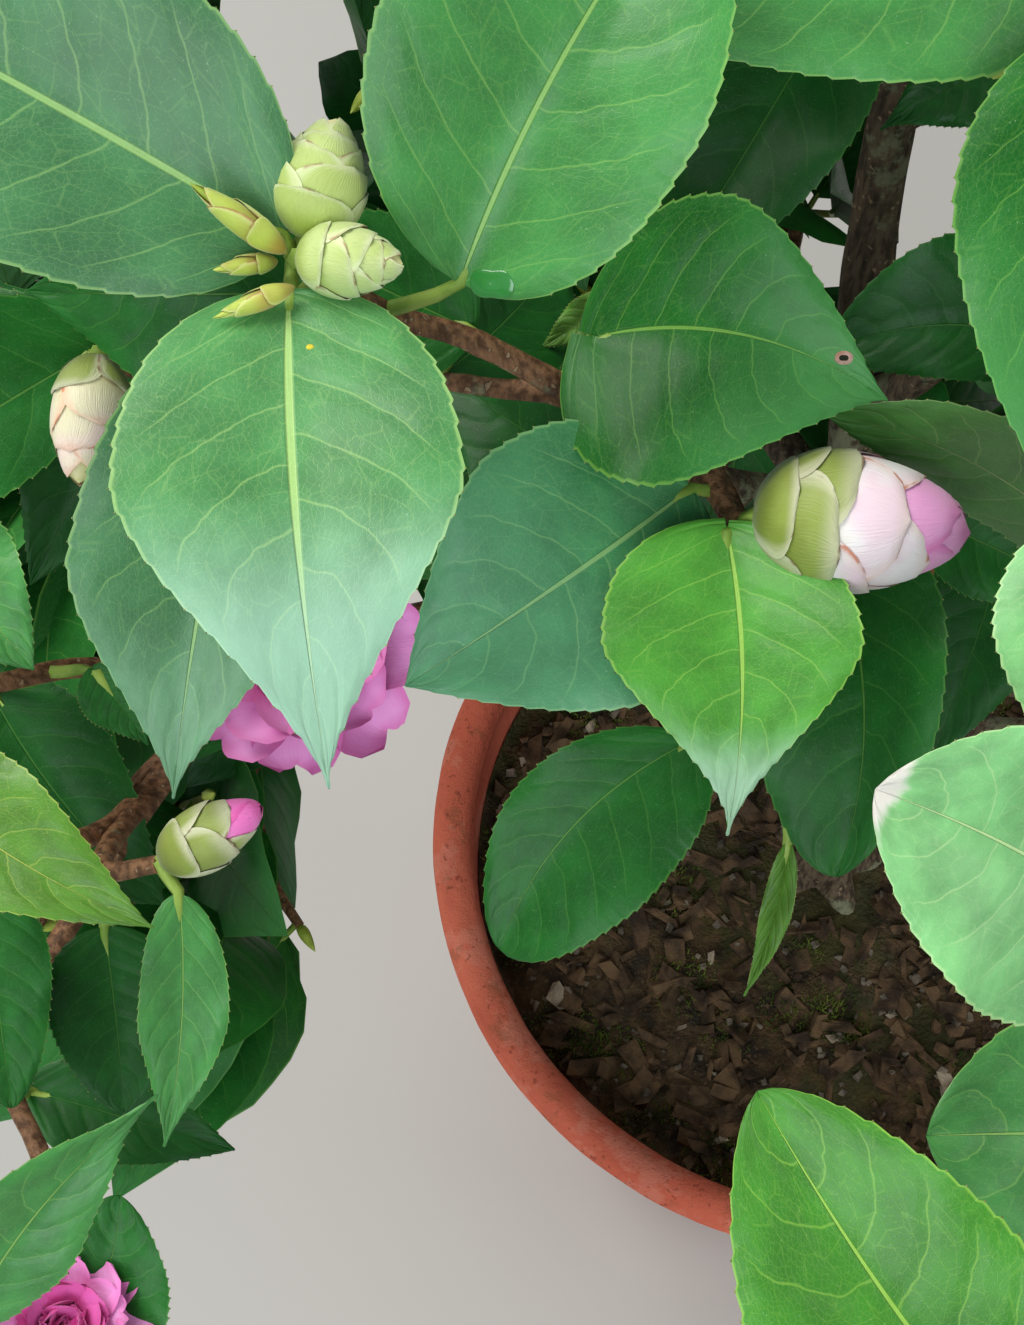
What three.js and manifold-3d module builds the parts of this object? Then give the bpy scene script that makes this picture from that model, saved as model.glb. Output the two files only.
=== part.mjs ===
// A camellia shrub growing in a terracotta pot, in millimetres, +Z up.
// The origin is the middle of the pot's flat underside, where it stands.
// The pot is turned clay, filled with soil. One short trunk leans a little back and left in it,
// forks into boughs, and each bough carries one mass of foliage: a stem that branches into twigs
// with evergreen leaves, flower buds and pink double blooms fused on.

import * as THREE from 'three';
import { mergeVertices } from 'three/addons/utils/BufferGeometryUtils.js';
import Module from 'manifold-3d';

const wasm = await Module();
wasm.setup();

// Driving dimensions

const POT_HEIGHT = 235;
const RIM_RADIUS = 130;
const BASE_RADIUS = 86;
const WALL = 8;
const LIP_WIDTH = 13;
const LIP_DEPTH = 16;
const SOIL_DROP = 26;
const DRAIN_RADIUS = 7;
const DRAIN_CIRCLE = 42;
const DRAINS = 3;
const CLEAR = 0.3;
const SLIVER = 0.06;

const SOIL_TOP = POT_HEIGHT - SOIL_DROP;
const TRUNK_FOOT_RADIUS = 10.5;
const TRUNK_TIP_RADIUS = 3.6;
const FLARE_HEIGHT = 34;
const FLARE_SPREAD = 1.15;
const ROOT_LOBES = 5;

// The crown is an ellipsoid, tilted lower at the front and higher at the back. Twigs end at the
// depths TWIG_END_DEPTHS under its skin, taken in turn.
const CROWN_CENTRE = new THREE.Vector3(-30, 25, POT_HEIGHT + 218);
const CROWN_RADII = new THREE.Vector3(266, 262, 188);
const CROWN_TILT = THREE.MathUtils.degToRad(20);
const TWIG_ENDS = 152;
const TWIG_END_DEPTHS = [84, 66, 92, 132];
const LEAVES_PER_TWIG = 4;
const LEAF_SPACING = 13;
const LEAST_LEAF_SHARE = 0.2;
const LEAF_TRIES = 22;
const LEAF_APART = 9;
const LEAF_LENGTH = [72, 94];
const LEAF_RATIO = 0.56;
const RATIO_SPREAD = 0.08;
const LEAF_SINK = 3;
const LEAF_SAG = 0.12;
const END_LEAN = 12;
const SIDE_LEAN = 38;
const LEAN_SPREAD = 40;
const LEAF_THICKNESS = 1.3;
const TWIG_RADIUS = 1.5;
const TWIG_SIDES = 3;
const STEM_RADIUS = 3.2;
const STALK_RADIUS = 1.1;

// Least ways between a piece of foliage and the walls of its mass's space, a limb, and the pot
const SPACE_MARGIN = 1.2;
const LIMB_MARGIN = 9;
const TWIG_LIMB_MARGIN = 4;
const FLOWER_LIMB_MARGIN = 2;
const POT_MARGIN = 12;
const GOLDEN_ANGLE = Math.PI * (3 - Math.sqrt(5));

// The station that the front sprays are set out from: a point above the front of the pot,
// looking steeply down. A place there is (across, down, depth), the first two on a plate of
// 1024 by 1325 units that lies PLATE_DISTANCE units from the station.
const STATION = new THREE.Vector3(-104, -200, POT_HEIGHT + 558);
const STATION_PITCH = THREE.MathUtils.degToRad(65);
const PLATE_DISTANCE = 1840;
const PLATE_CENTRE = [512, 662.5];
const FORWARD = new THREE.Vector3(0, Math.cos(STATION_PITCH), -Math.sin(STATION_PITCH));
const UPWARD = new THREE.Vector3(0, Math.sin(STATION_PITCH), Math.cos(STATION_PITCH));
const ACROSS = new THREE.Vector3(1, 0, 0);

/** A point in the part's frame from its place on the plate and its depth along the view. */
function at([across, down, depth]) {
  return STATION.clone()
    .addScaledVector(FORWARD, depth)
    .addScaledVector(ACROSS, (across - PLATE_CENTRE[0]) * depth / PLATE_DISTANCE)
    .addScaledVector(UPWARD, (PLATE_CENTRE[1] - down) * depth / PLATE_DISTANCE);
}

// Materials

const MATERIALS = {
  terracotta: new THREE.MeshStandardMaterial({ color: 0xb8604a, roughness: 0.9, metalness: 0 }),
  soil: new THREE.MeshStandardMaterial({ color: 0x2e231b, roughness: 1, metalness: 0 }),
  bark: new THREE.MeshStandardMaterial({ color: 0x6f5a48, roughness: 0.85, metalness: 0 }),
  foliage: new THREE.MeshStandardMaterial({ color: 0x3f8a3d, roughness: 0.35, metalness: 0 }),
};

// Making and joining closed solids

/** A closed geometry from points and triangles, with only its positions. */
function closedGeometry(points, triangles) {
  const geometry = new THREE.BufferGeometry();
  geometry.setAttribute('position', new THREE.Float32BufferAttribute(points.flatMap((p) => [p.x, p.y, p.z]), 3));
  geometry.setIndex(triangles);
  return geometry;
}

function toSolid(geometry) {
  const bare = geometry.clone();
  bare.deleteAttribute('normal');
  bare.deleteAttribute('uv');
  const merged = mergeVertices(bare, 1e-4);
  return new wasm.Manifold(new wasm.Mesh({
    numProp: 3,
    vertProperties: Float32Array.from(merged.attributes.position.array),
    triVerts: Uint32Array.from(merged.index.array),
  }));
}

function fromSolid(solid) {
  const { vertProperties, triVerts } = solid.getMesh();
  const geometry = new THREE.BufferGeometry();
  geometry.setAttribute('position', new THREE.BufferAttribute(Float32Array.from(vertProperties), 3));
  geometry.setIndex(new THREE.BufferAttribute(Uint32Array.from(triVerts), 1));
  const faceted = geometry.toNonIndexed();
  faceted.computeVertexNormals();
  return faceted;
}

/** Joins solids in pairs, pairs of pairs and so on, which is quicker than one after another. */
function joined(solids) {
  let round = solids;
  while (round.length > 1) {
    const next = [];
    for (let i = 0; i < round.length; i += 2) {
      next.push(i + 1 < round.length ? round[i].add(round[i + 1]) : round[i]);
    }
    round = next;
  }
  return round[0];
}

/** Smooths away the slivers left by joining, then keeps the largest body and drops loose scraps. */
function wholeBody(solid) {
  const bodies = solid.asOriginal().simplify(SLIVER).decompose();
  bodies.sort((a, b) => b.volume() - a.volume());
  return bodies[0];
}

// Seeded random numbers, so that the shrub is the same each time it is built
function randomFrom(seed) {
  let state = seed >>> 0;
  return () => {
    state = (state + 0x6D2B79F5) >>> 0;
    let mixed = state;
    mixed = Math.imul(mixed ^ (mixed >>> 15), mixed | 1);
    mixed ^= mixed + Math.imul(mixed ^ (mixed >>> 7), mixed | 61);
    return ((mixed ^ (mixed >>> 14)) >>> 0) / 4294967296;
  };
}

// Limbs: trunk, boughs and twigs

/** A tapering limb: rings of `sides` points square to a smooth path, with a flat cut at each end.
 *  The radius at a share s of the length is radiusAt(s, angle). */
function limbGeometry(path, steps, sides, radiusAt, firstNormal) {
  const points = [];
  const triangles = [];
  let side = new THREE.Vector3(1, 0, 0);
  for (let i = 0; i <= steps; i += 1) {
    const share = i / steps;
    const centre = path.getPointAt(share);
    const along = i === 0 && firstNormal ? firstNormal.clone() : path.getTangentAt(share);
    if (Math.abs(side.dot(along)) > 0.95) side.set(0, 1, 0);
    side = side.clone().addScaledVector(along, -side.dot(along)).normalize();
    const lift = along.clone().cross(side);
    for (let k = 0; k < sides; k += 1) {
      const angle = 2 * Math.PI * k / sides;
      const radius = radiusAt(share, angle);
      points.push(centre.clone()
        .addScaledVector(side, Math.cos(angle) * radius)
        .addScaledVector(lift, Math.sin(angle) * radius));
    }
  }
  for (let i = 0; i < steps; i += 1) {
    for (let k = 0; k < sides; k += 1) {
      const a = i * sides + k;
      const b = i * sides + (k + 1) % sides;
      triangles.push(a, b, b + sides, a, b + sides, a + sides);
    }
  }
  for (let k = 1; k < sides - 1; k += 1) {
    triangles.push(0, k + 1, k);
    const last = steps * sides;
    triangles.push(last, last + k, last + k + 1);
  }
  return closedGeometry(points, triangles);
}

function smoothPath(points) {
  return new THREE.CatmullRomCurve3(points, false, 'centripetal');
}

/** A twig with an even taper. */
function twigGeometry(points, startRadius, endRadius, steps = points.length - 1, sides = TWIG_SIDES) {
  return limbGeometry(smoothPath(points), steps, sides,
    (share) => startRadius + (endRadius - startRadius) * share);
}

// Leaves, buds and blooms

/** Half width of a leaf at a share s of its length: round at the base, widest at `widest`,
 *  drawn out to a point at the tip, the longer the greater `taper` is. */
function leafShape(s, widest, taper) {
  if (s < widest) return Math.sqrt(1 - ((widest - s) / widest) ** 2.3);
  return Math.max(0, 1 - ((s - widest) / (1 - widest)) ** 1.5) ** taper;
}

/** A leaf from base to tip, folded up along its midrib into a shallow V and arched over its length.
 *  face: the way the upper side looks. side and droop: bows of the midrib, as shares of the length.
 *  lop: how much wider one half is than the other. lobes: how far the halves reach back past the
 *  base. The ring of the outline has a knife edge, and the midrib is LEAF_THICKNESS thick. */
function leafGeometry({
  base, tip, width, face, side = 0, droop = 0.08, fold = 14, lop = 0, widest = 0.42, taper = 1.2, lobes = 0,
  stations = 2,
}) {
  const length = base.distanceTo(tip);
  const along = tip.clone().sub(base).normalize();
  const normal = face.clone().addScaledVector(along, -face.dot(along)).normalize();
  const across = normal.clone().cross(along);
  const rise = Math.sin(THREE.MathUtils.degToRad(fold));
  const reach = Math.cos(THREE.MathUtils.degToRad(fold));
  const centre = (s) => base.clone()
    .addScaledVector(along, length * s)
    .addScaledVector(across, side * length * 4 * s * (1 - s))
    .addScaledVector(normal, droop * length * 4 * s * (1 - s));
  const edge = (s, sign) => {
    const half = width / 2 * leafShape(s, widest, taper) * (1 + sign * lop);
    return centre(s)
      .addScaledVector(along, -lobes * length * (1 - s) ** 2 * (1 + sign * lop))
      .addScaledVector(across, sign * half * reach)
      .addScaledVector(normal, half * rise);
  };
  const midrib = (s, sign) => centre(s).addScaledVector(normal, sign * LEAF_THICKNESS / 2);
  const points = [base.clone(), tip.clone()];
  const triangles = [];
  if (stations === 2) {
    points.push(edge(0.24, 1), edge(0.24, -1), edge(0.66, 1), edge(0.66, -1), midrib(0.45, 1), midrib(0.45, -1));
    const [BASE, TIP, NEAR_R, NEAR_L, FAR_R, FAR_L, TOP, UNDER] = [0, 1, 2, 3, 4, 5, 6, 7];
    for (const [from, to] of [[BASE, NEAR_R], [NEAR_R, FAR_R], [FAR_R, TIP], [TIP, FAR_L], [FAR_L, NEAR_L],
      [NEAR_L, BASE]]) {
      triangles.push(from, TOP, to, to, UNDER, from);
    }
    return closedGeometry(points, triangles);
  }
  const rows = [];
  for (let i = 1; i <= stations; i += 1) {
    const s = 0.04 + 0.86 * (i - 0.5) / stations;
    rows.push(points.length);
    points.push(edge(s, 1), edge(s, -1), midrib(s, 1), midrib(s, -1));
  }
  const quad = (a, b, c, d) => triangles.push(a, b, c, a, c, d);
  const first = rows[0];
  const last = rows[rows.length - 1];
  triangles.push(0, first + 2, first, 0, first + 1, first + 2, 0, first, first + 3, 0, first + 3, first + 1);
  for (let i = 0; i + 1 < rows.length; i += 1) {
    const a = rows[i];
    const b = rows[i + 1];
    quad(a, a + 2, b + 2, b);
    quad(a + 2, a + 1, b + 1, b + 2);
    quad(a + 3, a, b, b + 3);
    quad(a + 1, a + 3, b + 3, b + 1);
  }
  triangles.push(1, last, last + 2, 1, last + 2, last + 1, 1, last + 3, last, 1, last + 1, last + 3);
  return closedGeometry(points, triangles);
}

const BUD_PROFILE = [[0, 0], [0.16, 0.66], [0.46, 1], [0.8, 0.68], [1, 0]];
const BLOOM_PROFILE = [[-0.5, 0], [-0.36, 0.5], [0.06, 1], [0.36, 0.66], [0.56, 0]];

/** A lathed body whose axis runs from base to tip. The profile's pairs are shares of the length
 *  along the axis and of the radius. */
function turnedGeometry(base, tip, radius, profile, sides) {
  const length = base.distanceTo(tip);
  const outline = profile.map(([along, out]) => new THREE.Vector2(out * radius, along * length));
  const geometry = new THREE.LatheGeometry(outline, sides);
  const turn = new THREE.Quaternion().setFromUnitVectors(
    new THREE.Vector3(0, 1, 0), tip.clone().sub(base).normalize());
  geometry.applyQuaternion(turn);
  geometry.translate(base.x, base.y, base.z);
  return geometry;
}

function budGeometry(base, tip, radius) {
  return turnedGeometry(base, tip, radius, BUD_PROFILE, 6);
}

const BLOOM_LIFT = 26;

/** A double bloom: a low dome with petal tips round its edge, centred on `centre`. */
function bloomGeometry(centre, outward, radius) {
  const top = centre.clone().addScaledVector(outward, BLOOM_LIFT);
  return turnedGeometry(centre, top, radius, BLOOM_PROFILE, 8);
}

// Pot, soil and trunk

const LIP_FOOT = POT_HEIGHT - LIP_DEPTH;
const WALL_TOP_RADIUS = RIM_RADIUS - 4;
const INNER_FOOT = WALL + 4;
const INNER_HEAD = LIP_FOOT - 4;
const POT_SIDES = 32;

/** Radius of the pot's inner face at a height z. */
function innerRadius(z) {
  const share = (z - INNER_FOOT) / (INNER_HEAD - INNER_FOOT);
  return THREE.MathUtils.lerp(BASE_RADIUS, WALL_TOP_RADIUS, share) - WALL;
}

/** The pot: a turned wall that widens upwards to a thick rounded lip, with drain holes below. */
function potSolid() {
  const lipMiddle = RIM_RADIUS - LIP_WIDTH / 2;
  const profile = [new THREE.Vector2(0, 0), new THREE.Vector2(BASE_RADIUS - 2, 0),
    new THREE.Vector2(BASE_RADIUS, 3), new THREE.Vector2(WALL_TOP_RADIUS, LIP_FOOT)];
  const lipSteps = 6;
  for (let k = 0; k <= lipSteps; k += 1) {
    const angle = Math.PI * k / lipSteps;
    profile.push(new THREE.Vector2(lipMiddle + Math.cos(angle) * LIP_WIDTH / 2,
      POT_HEIGHT - LIP_WIDTH / 2 + Math.sin(angle) * LIP_WIDTH / 2));
  }
  profile.push(new THREE.Vector2(innerRadius(INNER_HEAD), INNER_HEAD));
  profile.push(new THREE.Vector2(innerRadius(INNER_FOOT), INNER_FOOT));
  profile.push(new THREE.Vector2(innerRadius(INNER_FOOT) - 4, WALL));
  profile.push(new THREE.Vector2(0, WALL));
  let pot = toSolid(new THREE.LatheGeometry(profile, POT_SIDES).rotateX(Math.PI / 2));
  for (let k = 0; k < DRAINS; k += 1) {
    const angle = 2 * Math.PI * k / DRAINS;
    const drill = new THREE.CylinderGeometry(DRAIN_RADIUS, DRAIN_RADIUS, WALL * 4, 10).rotateX(Math.PI / 2)
      .translate(DRAIN_CIRCLE * Math.cos(angle), DRAIN_CIRCLE * Math.sin(angle), 0);
    pot = pot.subtract(toSolid(drill));
  }
  return pot;
}

/** The soil fills the pot to SOIL_DROP under the rim, CLEAR away from the clay. */
function soilSolid() {
  const gap = CLEAR * 1.2;
  const edge = 6;
  const profile = [new THREE.Vector2(0, WALL + CLEAR),
    new THREE.Vector2(innerRadius(INNER_FOOT) - 4 - edge, WALL + CLEAR),
    new THREE.Vector2(innerRadius(INNER_FOOT + edge) - gap, INNER_FOOT + edge),
    new THREE.Vector2(innerRadius(SOIL_TOP - edge) - gap, SOIL_TOP - edge),
    new THREE.Vector2(innerRadius(SOIL_TOP) - edge, SOIL_TOP), new THREE.Vector2(0, SOIL_TOP)];
  return toSolid(new THREE.LatheGeometry(profile, POT_SIDES).rotateX(Math.PI / 2));
}

// The trunk's middle line above the soil, as it leans back and left
const TRUNK_LINE = [[0, 0, SOIL_TOP + CLEAR], [-3, 4, SOIL_TOP + 50], [-11, 20, POT_HEIGHT + 90],
  [-19, 37, POT_HEIGHT + 160], [-26, 50, POT_HEIGHT + 233], [-28, 56, POT_HEIGHT + 290],
  [-22, 66, POT_HEIGHT + 330]].map((p) => new THREE.Vector3(...p));
const TRUNK_PATH = smoothPath(TRUNK_LINE);
const TRUNK_LENGTH = TRUNK_PATH.getLength();

/** Trunk radius: an even taper, plus a root flare with lobes that dies out up the foot. */
function trunkRadius(share, angle) {
  const taper = TRUNK_FOOT_RADIUS + (TRUNK_TIP_RADIUS - TRUNK_FOOT_RADIUS) * share ** 0.8;
  const height = share * TRUNK_LENGTH;
  const flare = Math.exp(-height / (FLARE_HEIGHT / 2.2));
  return taper * (1 + flare * FLARE_SPREAD * (0.55 + 0.45 * Math.cos(ROOT_LOBES * angle)));
}

function trunkSolid(extra = 0) {
  return toSolid(limbGeometry(TRUNK_PATH, 16, 10, (share, angle) => trunkRadius(share, angle) + extra,
    new THREE.Vector3(0, 0, 1)));
}

// Boughs: each leaves the trunk at a share of its length, with a start and end radius, and runs
// through its bend to the place where its mass begins.
const rimPoint = (x, y, z) => new THREE.Vector3(x, y, POT_HEIGHT + z);
const BOUGHS = {
  front: { leaves: 0.66, radii: [4.6, 3.4], bend: rimPoint(-52, 8, 262), end: at([716, 452, 316]) },
  near_left: { leaves: 0.50, radii: [4.4, 3.0], bend: rimPoint(-88, 4, 226), end: rimPoint(-152, -20, 262) },
  near_low_left: { leaves: 0.38, radii: [4.4, 3.0], bend: rimPoint(-98, -16, 184), end: rimPoint(-156, -50, 222) },
  near_right: { leaves: 0.60, radii: [4.2, 3.0], bend: rimPoint(-8, 16, 250), end: rimPoint(8, -12, 264) },
  near_low_right: { leaves: 0.26, radii: [4.6, 3.0], bend: rimPoint(50, -40, 168), end: rimPoint(18, -118, 258) },
  left: { leaves: 0.32, radii: [5.0, 3.2], bend: rimPoint(-84, 26, 158), end: rimPoint(-158, 20, 196) },
  low_left: { leaves: 0.18, radii: [4.6, 3.2], bend: rimPoint(-66, 22, 86), end: rimPoint(-128, 18, 108) },
  back_left: { leaves: 0.46, radii: [4.8, 3.2], bend: rimPoint(-70, 84, 200), end: rimPoint(-118, 112, 232) },
  low_back: { leaves: 0.24, radii: [4.6, 3.2], bend: rimPoint(-22, 76, 108), end: rimPoint(-26, 124, 132) },
  back: { leaves: 0.74, radii: [4.2, 3.2], bend: rimPoint(-18, 98, 272), end: rimPoint(-6, 134, 300) },
  right: { leaves: 0.42, radii: [5.2, 3.2], bend: rimPoint(48, 26, 186), end: rimPoint(96, 14, 222) },
  low_right: { leaves: 0.15, radii: [4.6, 3.2], bend: rimPoint(48, -12, 74), end: rimPoint(96, -34, 102) },
  back_right: { leaves: 0.55, radii: [4.4, 3.2], bend: rimPoint(30, 92, 236), end: rimPoint(74, 118, 262) },
  front_right: { leaves: 0.34, radii: [5.0, 3.2], bend: rimPoint(64, -36, 180), end: rimPoint(86, -92, 220) },
  upper_right: { leaves: 0.84, radii: [3.8, 3.0], bend: rimPoint(12, 48, 316), end: rimPoint(36, 38, 336) },
};
const TOP_MASS = 'top';

/** The bough's path from the trunk's middle line. */
function boughPath({ leaves, bend, end }) {
  const start = TRUNK_PATH.getPointAt(leaves);
  return smoothPath([start, start.clone().lerp(bend, 0.45).add(new THREE.Vector3(0, 0, -3)), bend, end]);
}

const BOUGH_STEPS = 5;
const BOUGH_SIDES = 5;
const COLLAR = 1.6;

/** One tapering limb with a slight collar where it leaves the trunk, cut CLEAR of the trunk. */
function boughSolid(bough, trunkWithGap) {
  const [startRadius, endRadius] = bough.radii;
  const limb = limbGeometry(boughPath(bough), BOUGH_STEPS, BOUGH_SIDES,
    (share) => startRadius + (endRadius - startRadius) * share + COLLAR * Math.exp(-share * 12));
  return wholeBody(toSolid(limb).subtract(trunkWithGap));
}

// Every limb as points with radii, so that foliage can keep clear of it
const LIMB_POINTS = [];
const TRUNK_SAMPLES = 60;
const BOUGH_SAMPLES = 30;
for (let i = 0; i <= TRUNK_SAMPLES; i += 1) {
  const share = i / TRUNK_SAMPLES;
  LIMB_POINTS.push({ point: TRUNK_PATH.getPointAt(share), radius: trunkRadius(share, 0) });
}
for (const bough of Object.values(BOUGHS)) {
  for (let i = 0; i <= BOUGH_SAMPLES; i += 1) {
    LIMB_POINTS.push({ point: boughPath(bough).getPointAt(i / BOUGH_SAMPLES), radius: bough.radii[0] });
  }
}

// The space of the crown and of each mass

/** How far out a point lies in the crown: 0 at its middle, 1 on its skin. */
function crownShare(point) {
  const p = point.clone().sub(CROWN_CENTRE);
  const back = p.y * Math.cos(CROWN_TILT) + p.z * Math.sin(CROWN_TILT);
  const top = p.z * Math.cos(CROWN_TILT) - p.y * Math.sin(CROWN_TILT);
  return Math.hypot(p.x / CROWN_RADII.x, back / CROWN_RADII.y, top / CROWN_RADII.z);
}

function crownPoint(direction, share) {
  const x = direction.x * CROWN_RADII.x;
  const back = direction.y * CROWN_RADII.y;
  const top = direction.z * CROWN_RADII.z;
  return new THREE.Vector3(x, back * Math.cos(CROWN_TILT) - top * Math.sin(CROWN_TILT),
    back * Math.sin(CROWN_TILT) + top * Math.cos(CROWN_TILT)).multiplyScalar(share).add(CROWN_CENTRE);
}

// Views kept open from the station: [left, top, right, bottom, nearest depth, furthest depth].
// The first holds the front sprays, the others are gaps where the soil, the rim and the ground show.
const OPEN_VIEWS = [
  [-200, -70, 1190, 1500, 0, 360],
  [232, -10, 300, 112, 0, 900],
  [900, 130, 952, 240, 0, 900],
  [350, 690, 1030, 1335, 0, 900],
];

/** A piece keeps out of an open view when all of its points lie beyond one of the view's sides. */
function keepsOut(points, [left, top, right, bottom, near, far]) {
  const seen = points.map((point) => {
    const way = point.clone().sub(STATION);
    return {
      across: way.dot(ACROSS) * PLATE_DISTANCE,
      down: -way.dot(UPWARD) * PLATE_DISTANCE,
      depth: way.dot(FORWARD),
    };
  });
  const beyond = [
    ({ across, depth }) => across < (left - PLATE_CENTRE[0]) * depth,
    ({ across, depth }) => across > (right - PLATE_CENTRE[0]) * depth,
    ({ down, depth }) => down < (top - PLATE_CENTRE[1]) * depth,
    ({ down, depth }) => down > (bottom - PLATE_CENTRE[1]) * depth,
    ({ depth }) => depth < near,
    ({ depth }) => depth > far,
  ];
  return beyond.some((side) => seen.every(side));
}

const MASS_CENTRES = {
  left: rimPoint(-215, -20, 220),
  low_left: rimPoint(-190, -50, 118),
  back_left: rimPoint(-155, 150, 250),
  low_back: rimPoint(-40, 185, 150),
  back: rimPoint(-10, 190, 320),
  right: rimPoint(150, 20, 230),
  low_right: rimPoint(120, -70, 105),
  back_right: rimPoint(120, 150, 280),
  upper_right: rimPoint(90, 0, 350),
  top: rimPoint(-60, 100, 400),
  front_right: rimPoint(90, -150, 240),
};

/** Least distance from the walls between a mass's space and its neighbours' spaces. */
function insideSpace(point, own) {
  const centre = MASS_CENTRES[own];
  let least = Infinity;
  for (const [name, other] of Object.entries(MASS_CENTRES)) {
    if (name === own) continue;
    const wall = (point.distanceToSquared(other) - point.distanceToSquared(centre)) / (2 * other.distanceTo(centre));
    least = Math.min(least, wall);
  }
  return least;
}

function geometryPoints(geometry) {
  const positions = geometry.attributes.position;
  const points = [];
  for (let i = 0; i < positions.count; i += 1) points.push(new THREE.Vector3().fromBufferAttribute(positions, i));
  return points;
}

const SAMPLE_SHARES = [1 / 3, 2 / 3];

/** The corners of a piece, with points between them so that no limb slips through the middle. */
function samplePoints(points) {
  const samples = [...points];
  for (let i = 0; i < points.length; i += 1) {
    for (let j = i + 1; j < points.length; j += 1) {
      for (const share of SAMPLE_SHARES) samples.push(points[i].clone().lerp(points[j], share));
    }
  }
  return samples;
}

/** Whether a leaf, bud or bloom lies in its mass's space, in the crown, clear of the pot and the
 *  limbs, and out of the open views. */
function fits(geometry, mass, limbMargin) {
  const corners = geometryPoints(geometry);
  if (corners.some((p) => insideSpace(p, mass) < SPACE_MARGIN || crownShare(p) > 1)) return false;
  if (corners.some((p) => p.z < POT_HEIGHT + POT_MARGIN && Math.hypot(p.x, p.y) < RIM_RADIUS + POT_MARGIN)) {
    return false;
  }
  if (!OPEN_VIEWS.every((view) => keepsOut(corners, view))) return false;
  const samples = samplePoints(corners);
  return !LIMB_POINTS.some((limb) => samples.some((p) => p.distanceTo(limb.point) < limb.radius + limbMargin));
}

// Twig ends are spread evenly over the crown's shells by the golden angle
const TWIG_TARGETS = [];
for (let i = 0; i < TWIG_ENDS; i += 1) {
  const up = 1 - 2 * (i + 0.5) / TWIG_ENDS;
  const out = Math.sqrt(1 - up * up);
  const direction = new THREE.Vector3(out * Math.cos(i * GOLDEN_ANGLE), out * Math.sin(i * GOLDEN_ANGLE), up);
  const skin = crownPoint(direction, 1).distanceTo(CROWN_CENTRE);
  TWIG_TARGETS.push(crownPoint(direction, 1 - TWIG_END_DEPTHS[i % TWIG_END_DEPTHS.length] / skin));
}

// Spots over a leaf, as shares of its length along and of its width across
const LEAF_SPOTS = [[0.3, -0.3], [0.3, 0.3], [0.52, 0], [0.55, -0.38], [0.55, 0.38], [0.78, -0.2], [0.78, 0.2],
  [1, 0]];

function leafSpots(base, out, long, face, width) {
  const across = face.clone().cross(out).normalize();
  return LEAF_SPOTS.map(([s, side]) => base.clone()
    .addScaledVector(out, s * long)
    .addScaledVector(across, side * width));
}

/** Whether a leaf with these spots comes nearer than LEAF_APART to one of the others. */
function comesNear(spots, others) {
  return others.some((other) => other.some((p) => spots.some((q) => p.distanceTo(q) < LEAF_APART)));
}

/** Leaves along a twig, the first at its end and the rest LEAF_SPACING apart. Each turns by the
 *  golden angle, leans out from the twig and looks up. One that doesn't fit the mass's space, or
 *  comes near a leaf that is already there, is tried again further round. */
function leavesAlong(line, mass, random, others) {
  const leaves = [];
  const length = line.getLength();
  const startAngle = random() * 2 * Math.PI;
  let attempt = 0;
  for (let order = 0; order < LEAVES_PER_TWIG; order += 1) {
    const share = 1 - (LEAF_SINK + order * LEAF_SPACING) / length;
    if (share < LEAST_LEAF_SHARE) break;
    const base = line.getPointAt(share);
    const along = line.getTangentAt(share);
    const side = Math.abs(along.z) > 0.9 ? new THREE.Vector3(1, 0, 0) : new THREE.Vector3(0, 0, 1);
    const first = side.clone().cross(along).normalize();
    const second = along.clone().cross(first);
    const face = new THREE.Vector3(0, 0, 1).addScaledVector(along, 0.9);
    for (let turn = 0; turn < LEAF_TRIES; turn += 1) {
      const angle = startAngle + attempt * GOLDEN_ANGLE;
      attempt += 1;
      const lean = THREE.MathUtils.degToRad((order === 0 ? END_LEAN : SIDE_LEAN) + LEAN_SPREAD * random());
      const long = LEAF_LENGTH[0] + (LEAF_LENGTH[1] - LEAF_LENGTH[0]) * random();
      const width = long * (LEAF_RATIO + RATIO_SPREAD * (random() - 0.5));
      const out = along.clone().multiplyScalar(Math.cos(lean))
        .addScaledVector(first, Math.sin(lean) * Math.cos(angle))
        .addScaledVector(second, Math.sin(lean) * Math.sin(angle));
      out.z -= LEAF_SAG;
      out.normalize();
      const spots = leafSpots(base, out, long, face, width);
      if (comesNear(spots, others)) continue;
      const leaf = leafGeometry({ base, tip: base.clone().addScaledVector(out, long), width, face });
      if (fits(leaf, mass, LIMB_MARGIN)) {
        leaves.push(leaf);
        others.push(spots);
        break;
      }
    }
  }
  return leaves;
}

// Some twig ends carry a flower bud or a bloom: every so many, counted from the first one given
const BUDS = { every: 13, first: 1, length: 30, radius: 10, sink: 4 };
const BLOOMS = { every: 23, first: 2, radius: 31, lift: 10 };

/** Where the stem of a mass starts, just clear of its bough's tip, or of the trunk's. */
function stemStartOf(name) {
  const path = name === TOP_MASS ? TRUNK_PATH : boughPath(BOUGHS[name]);
  const way = path.getTangentAt(1);
  return { start: path.getPointAt(1).addScaledVector(way, CLEAR), way };
}

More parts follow.
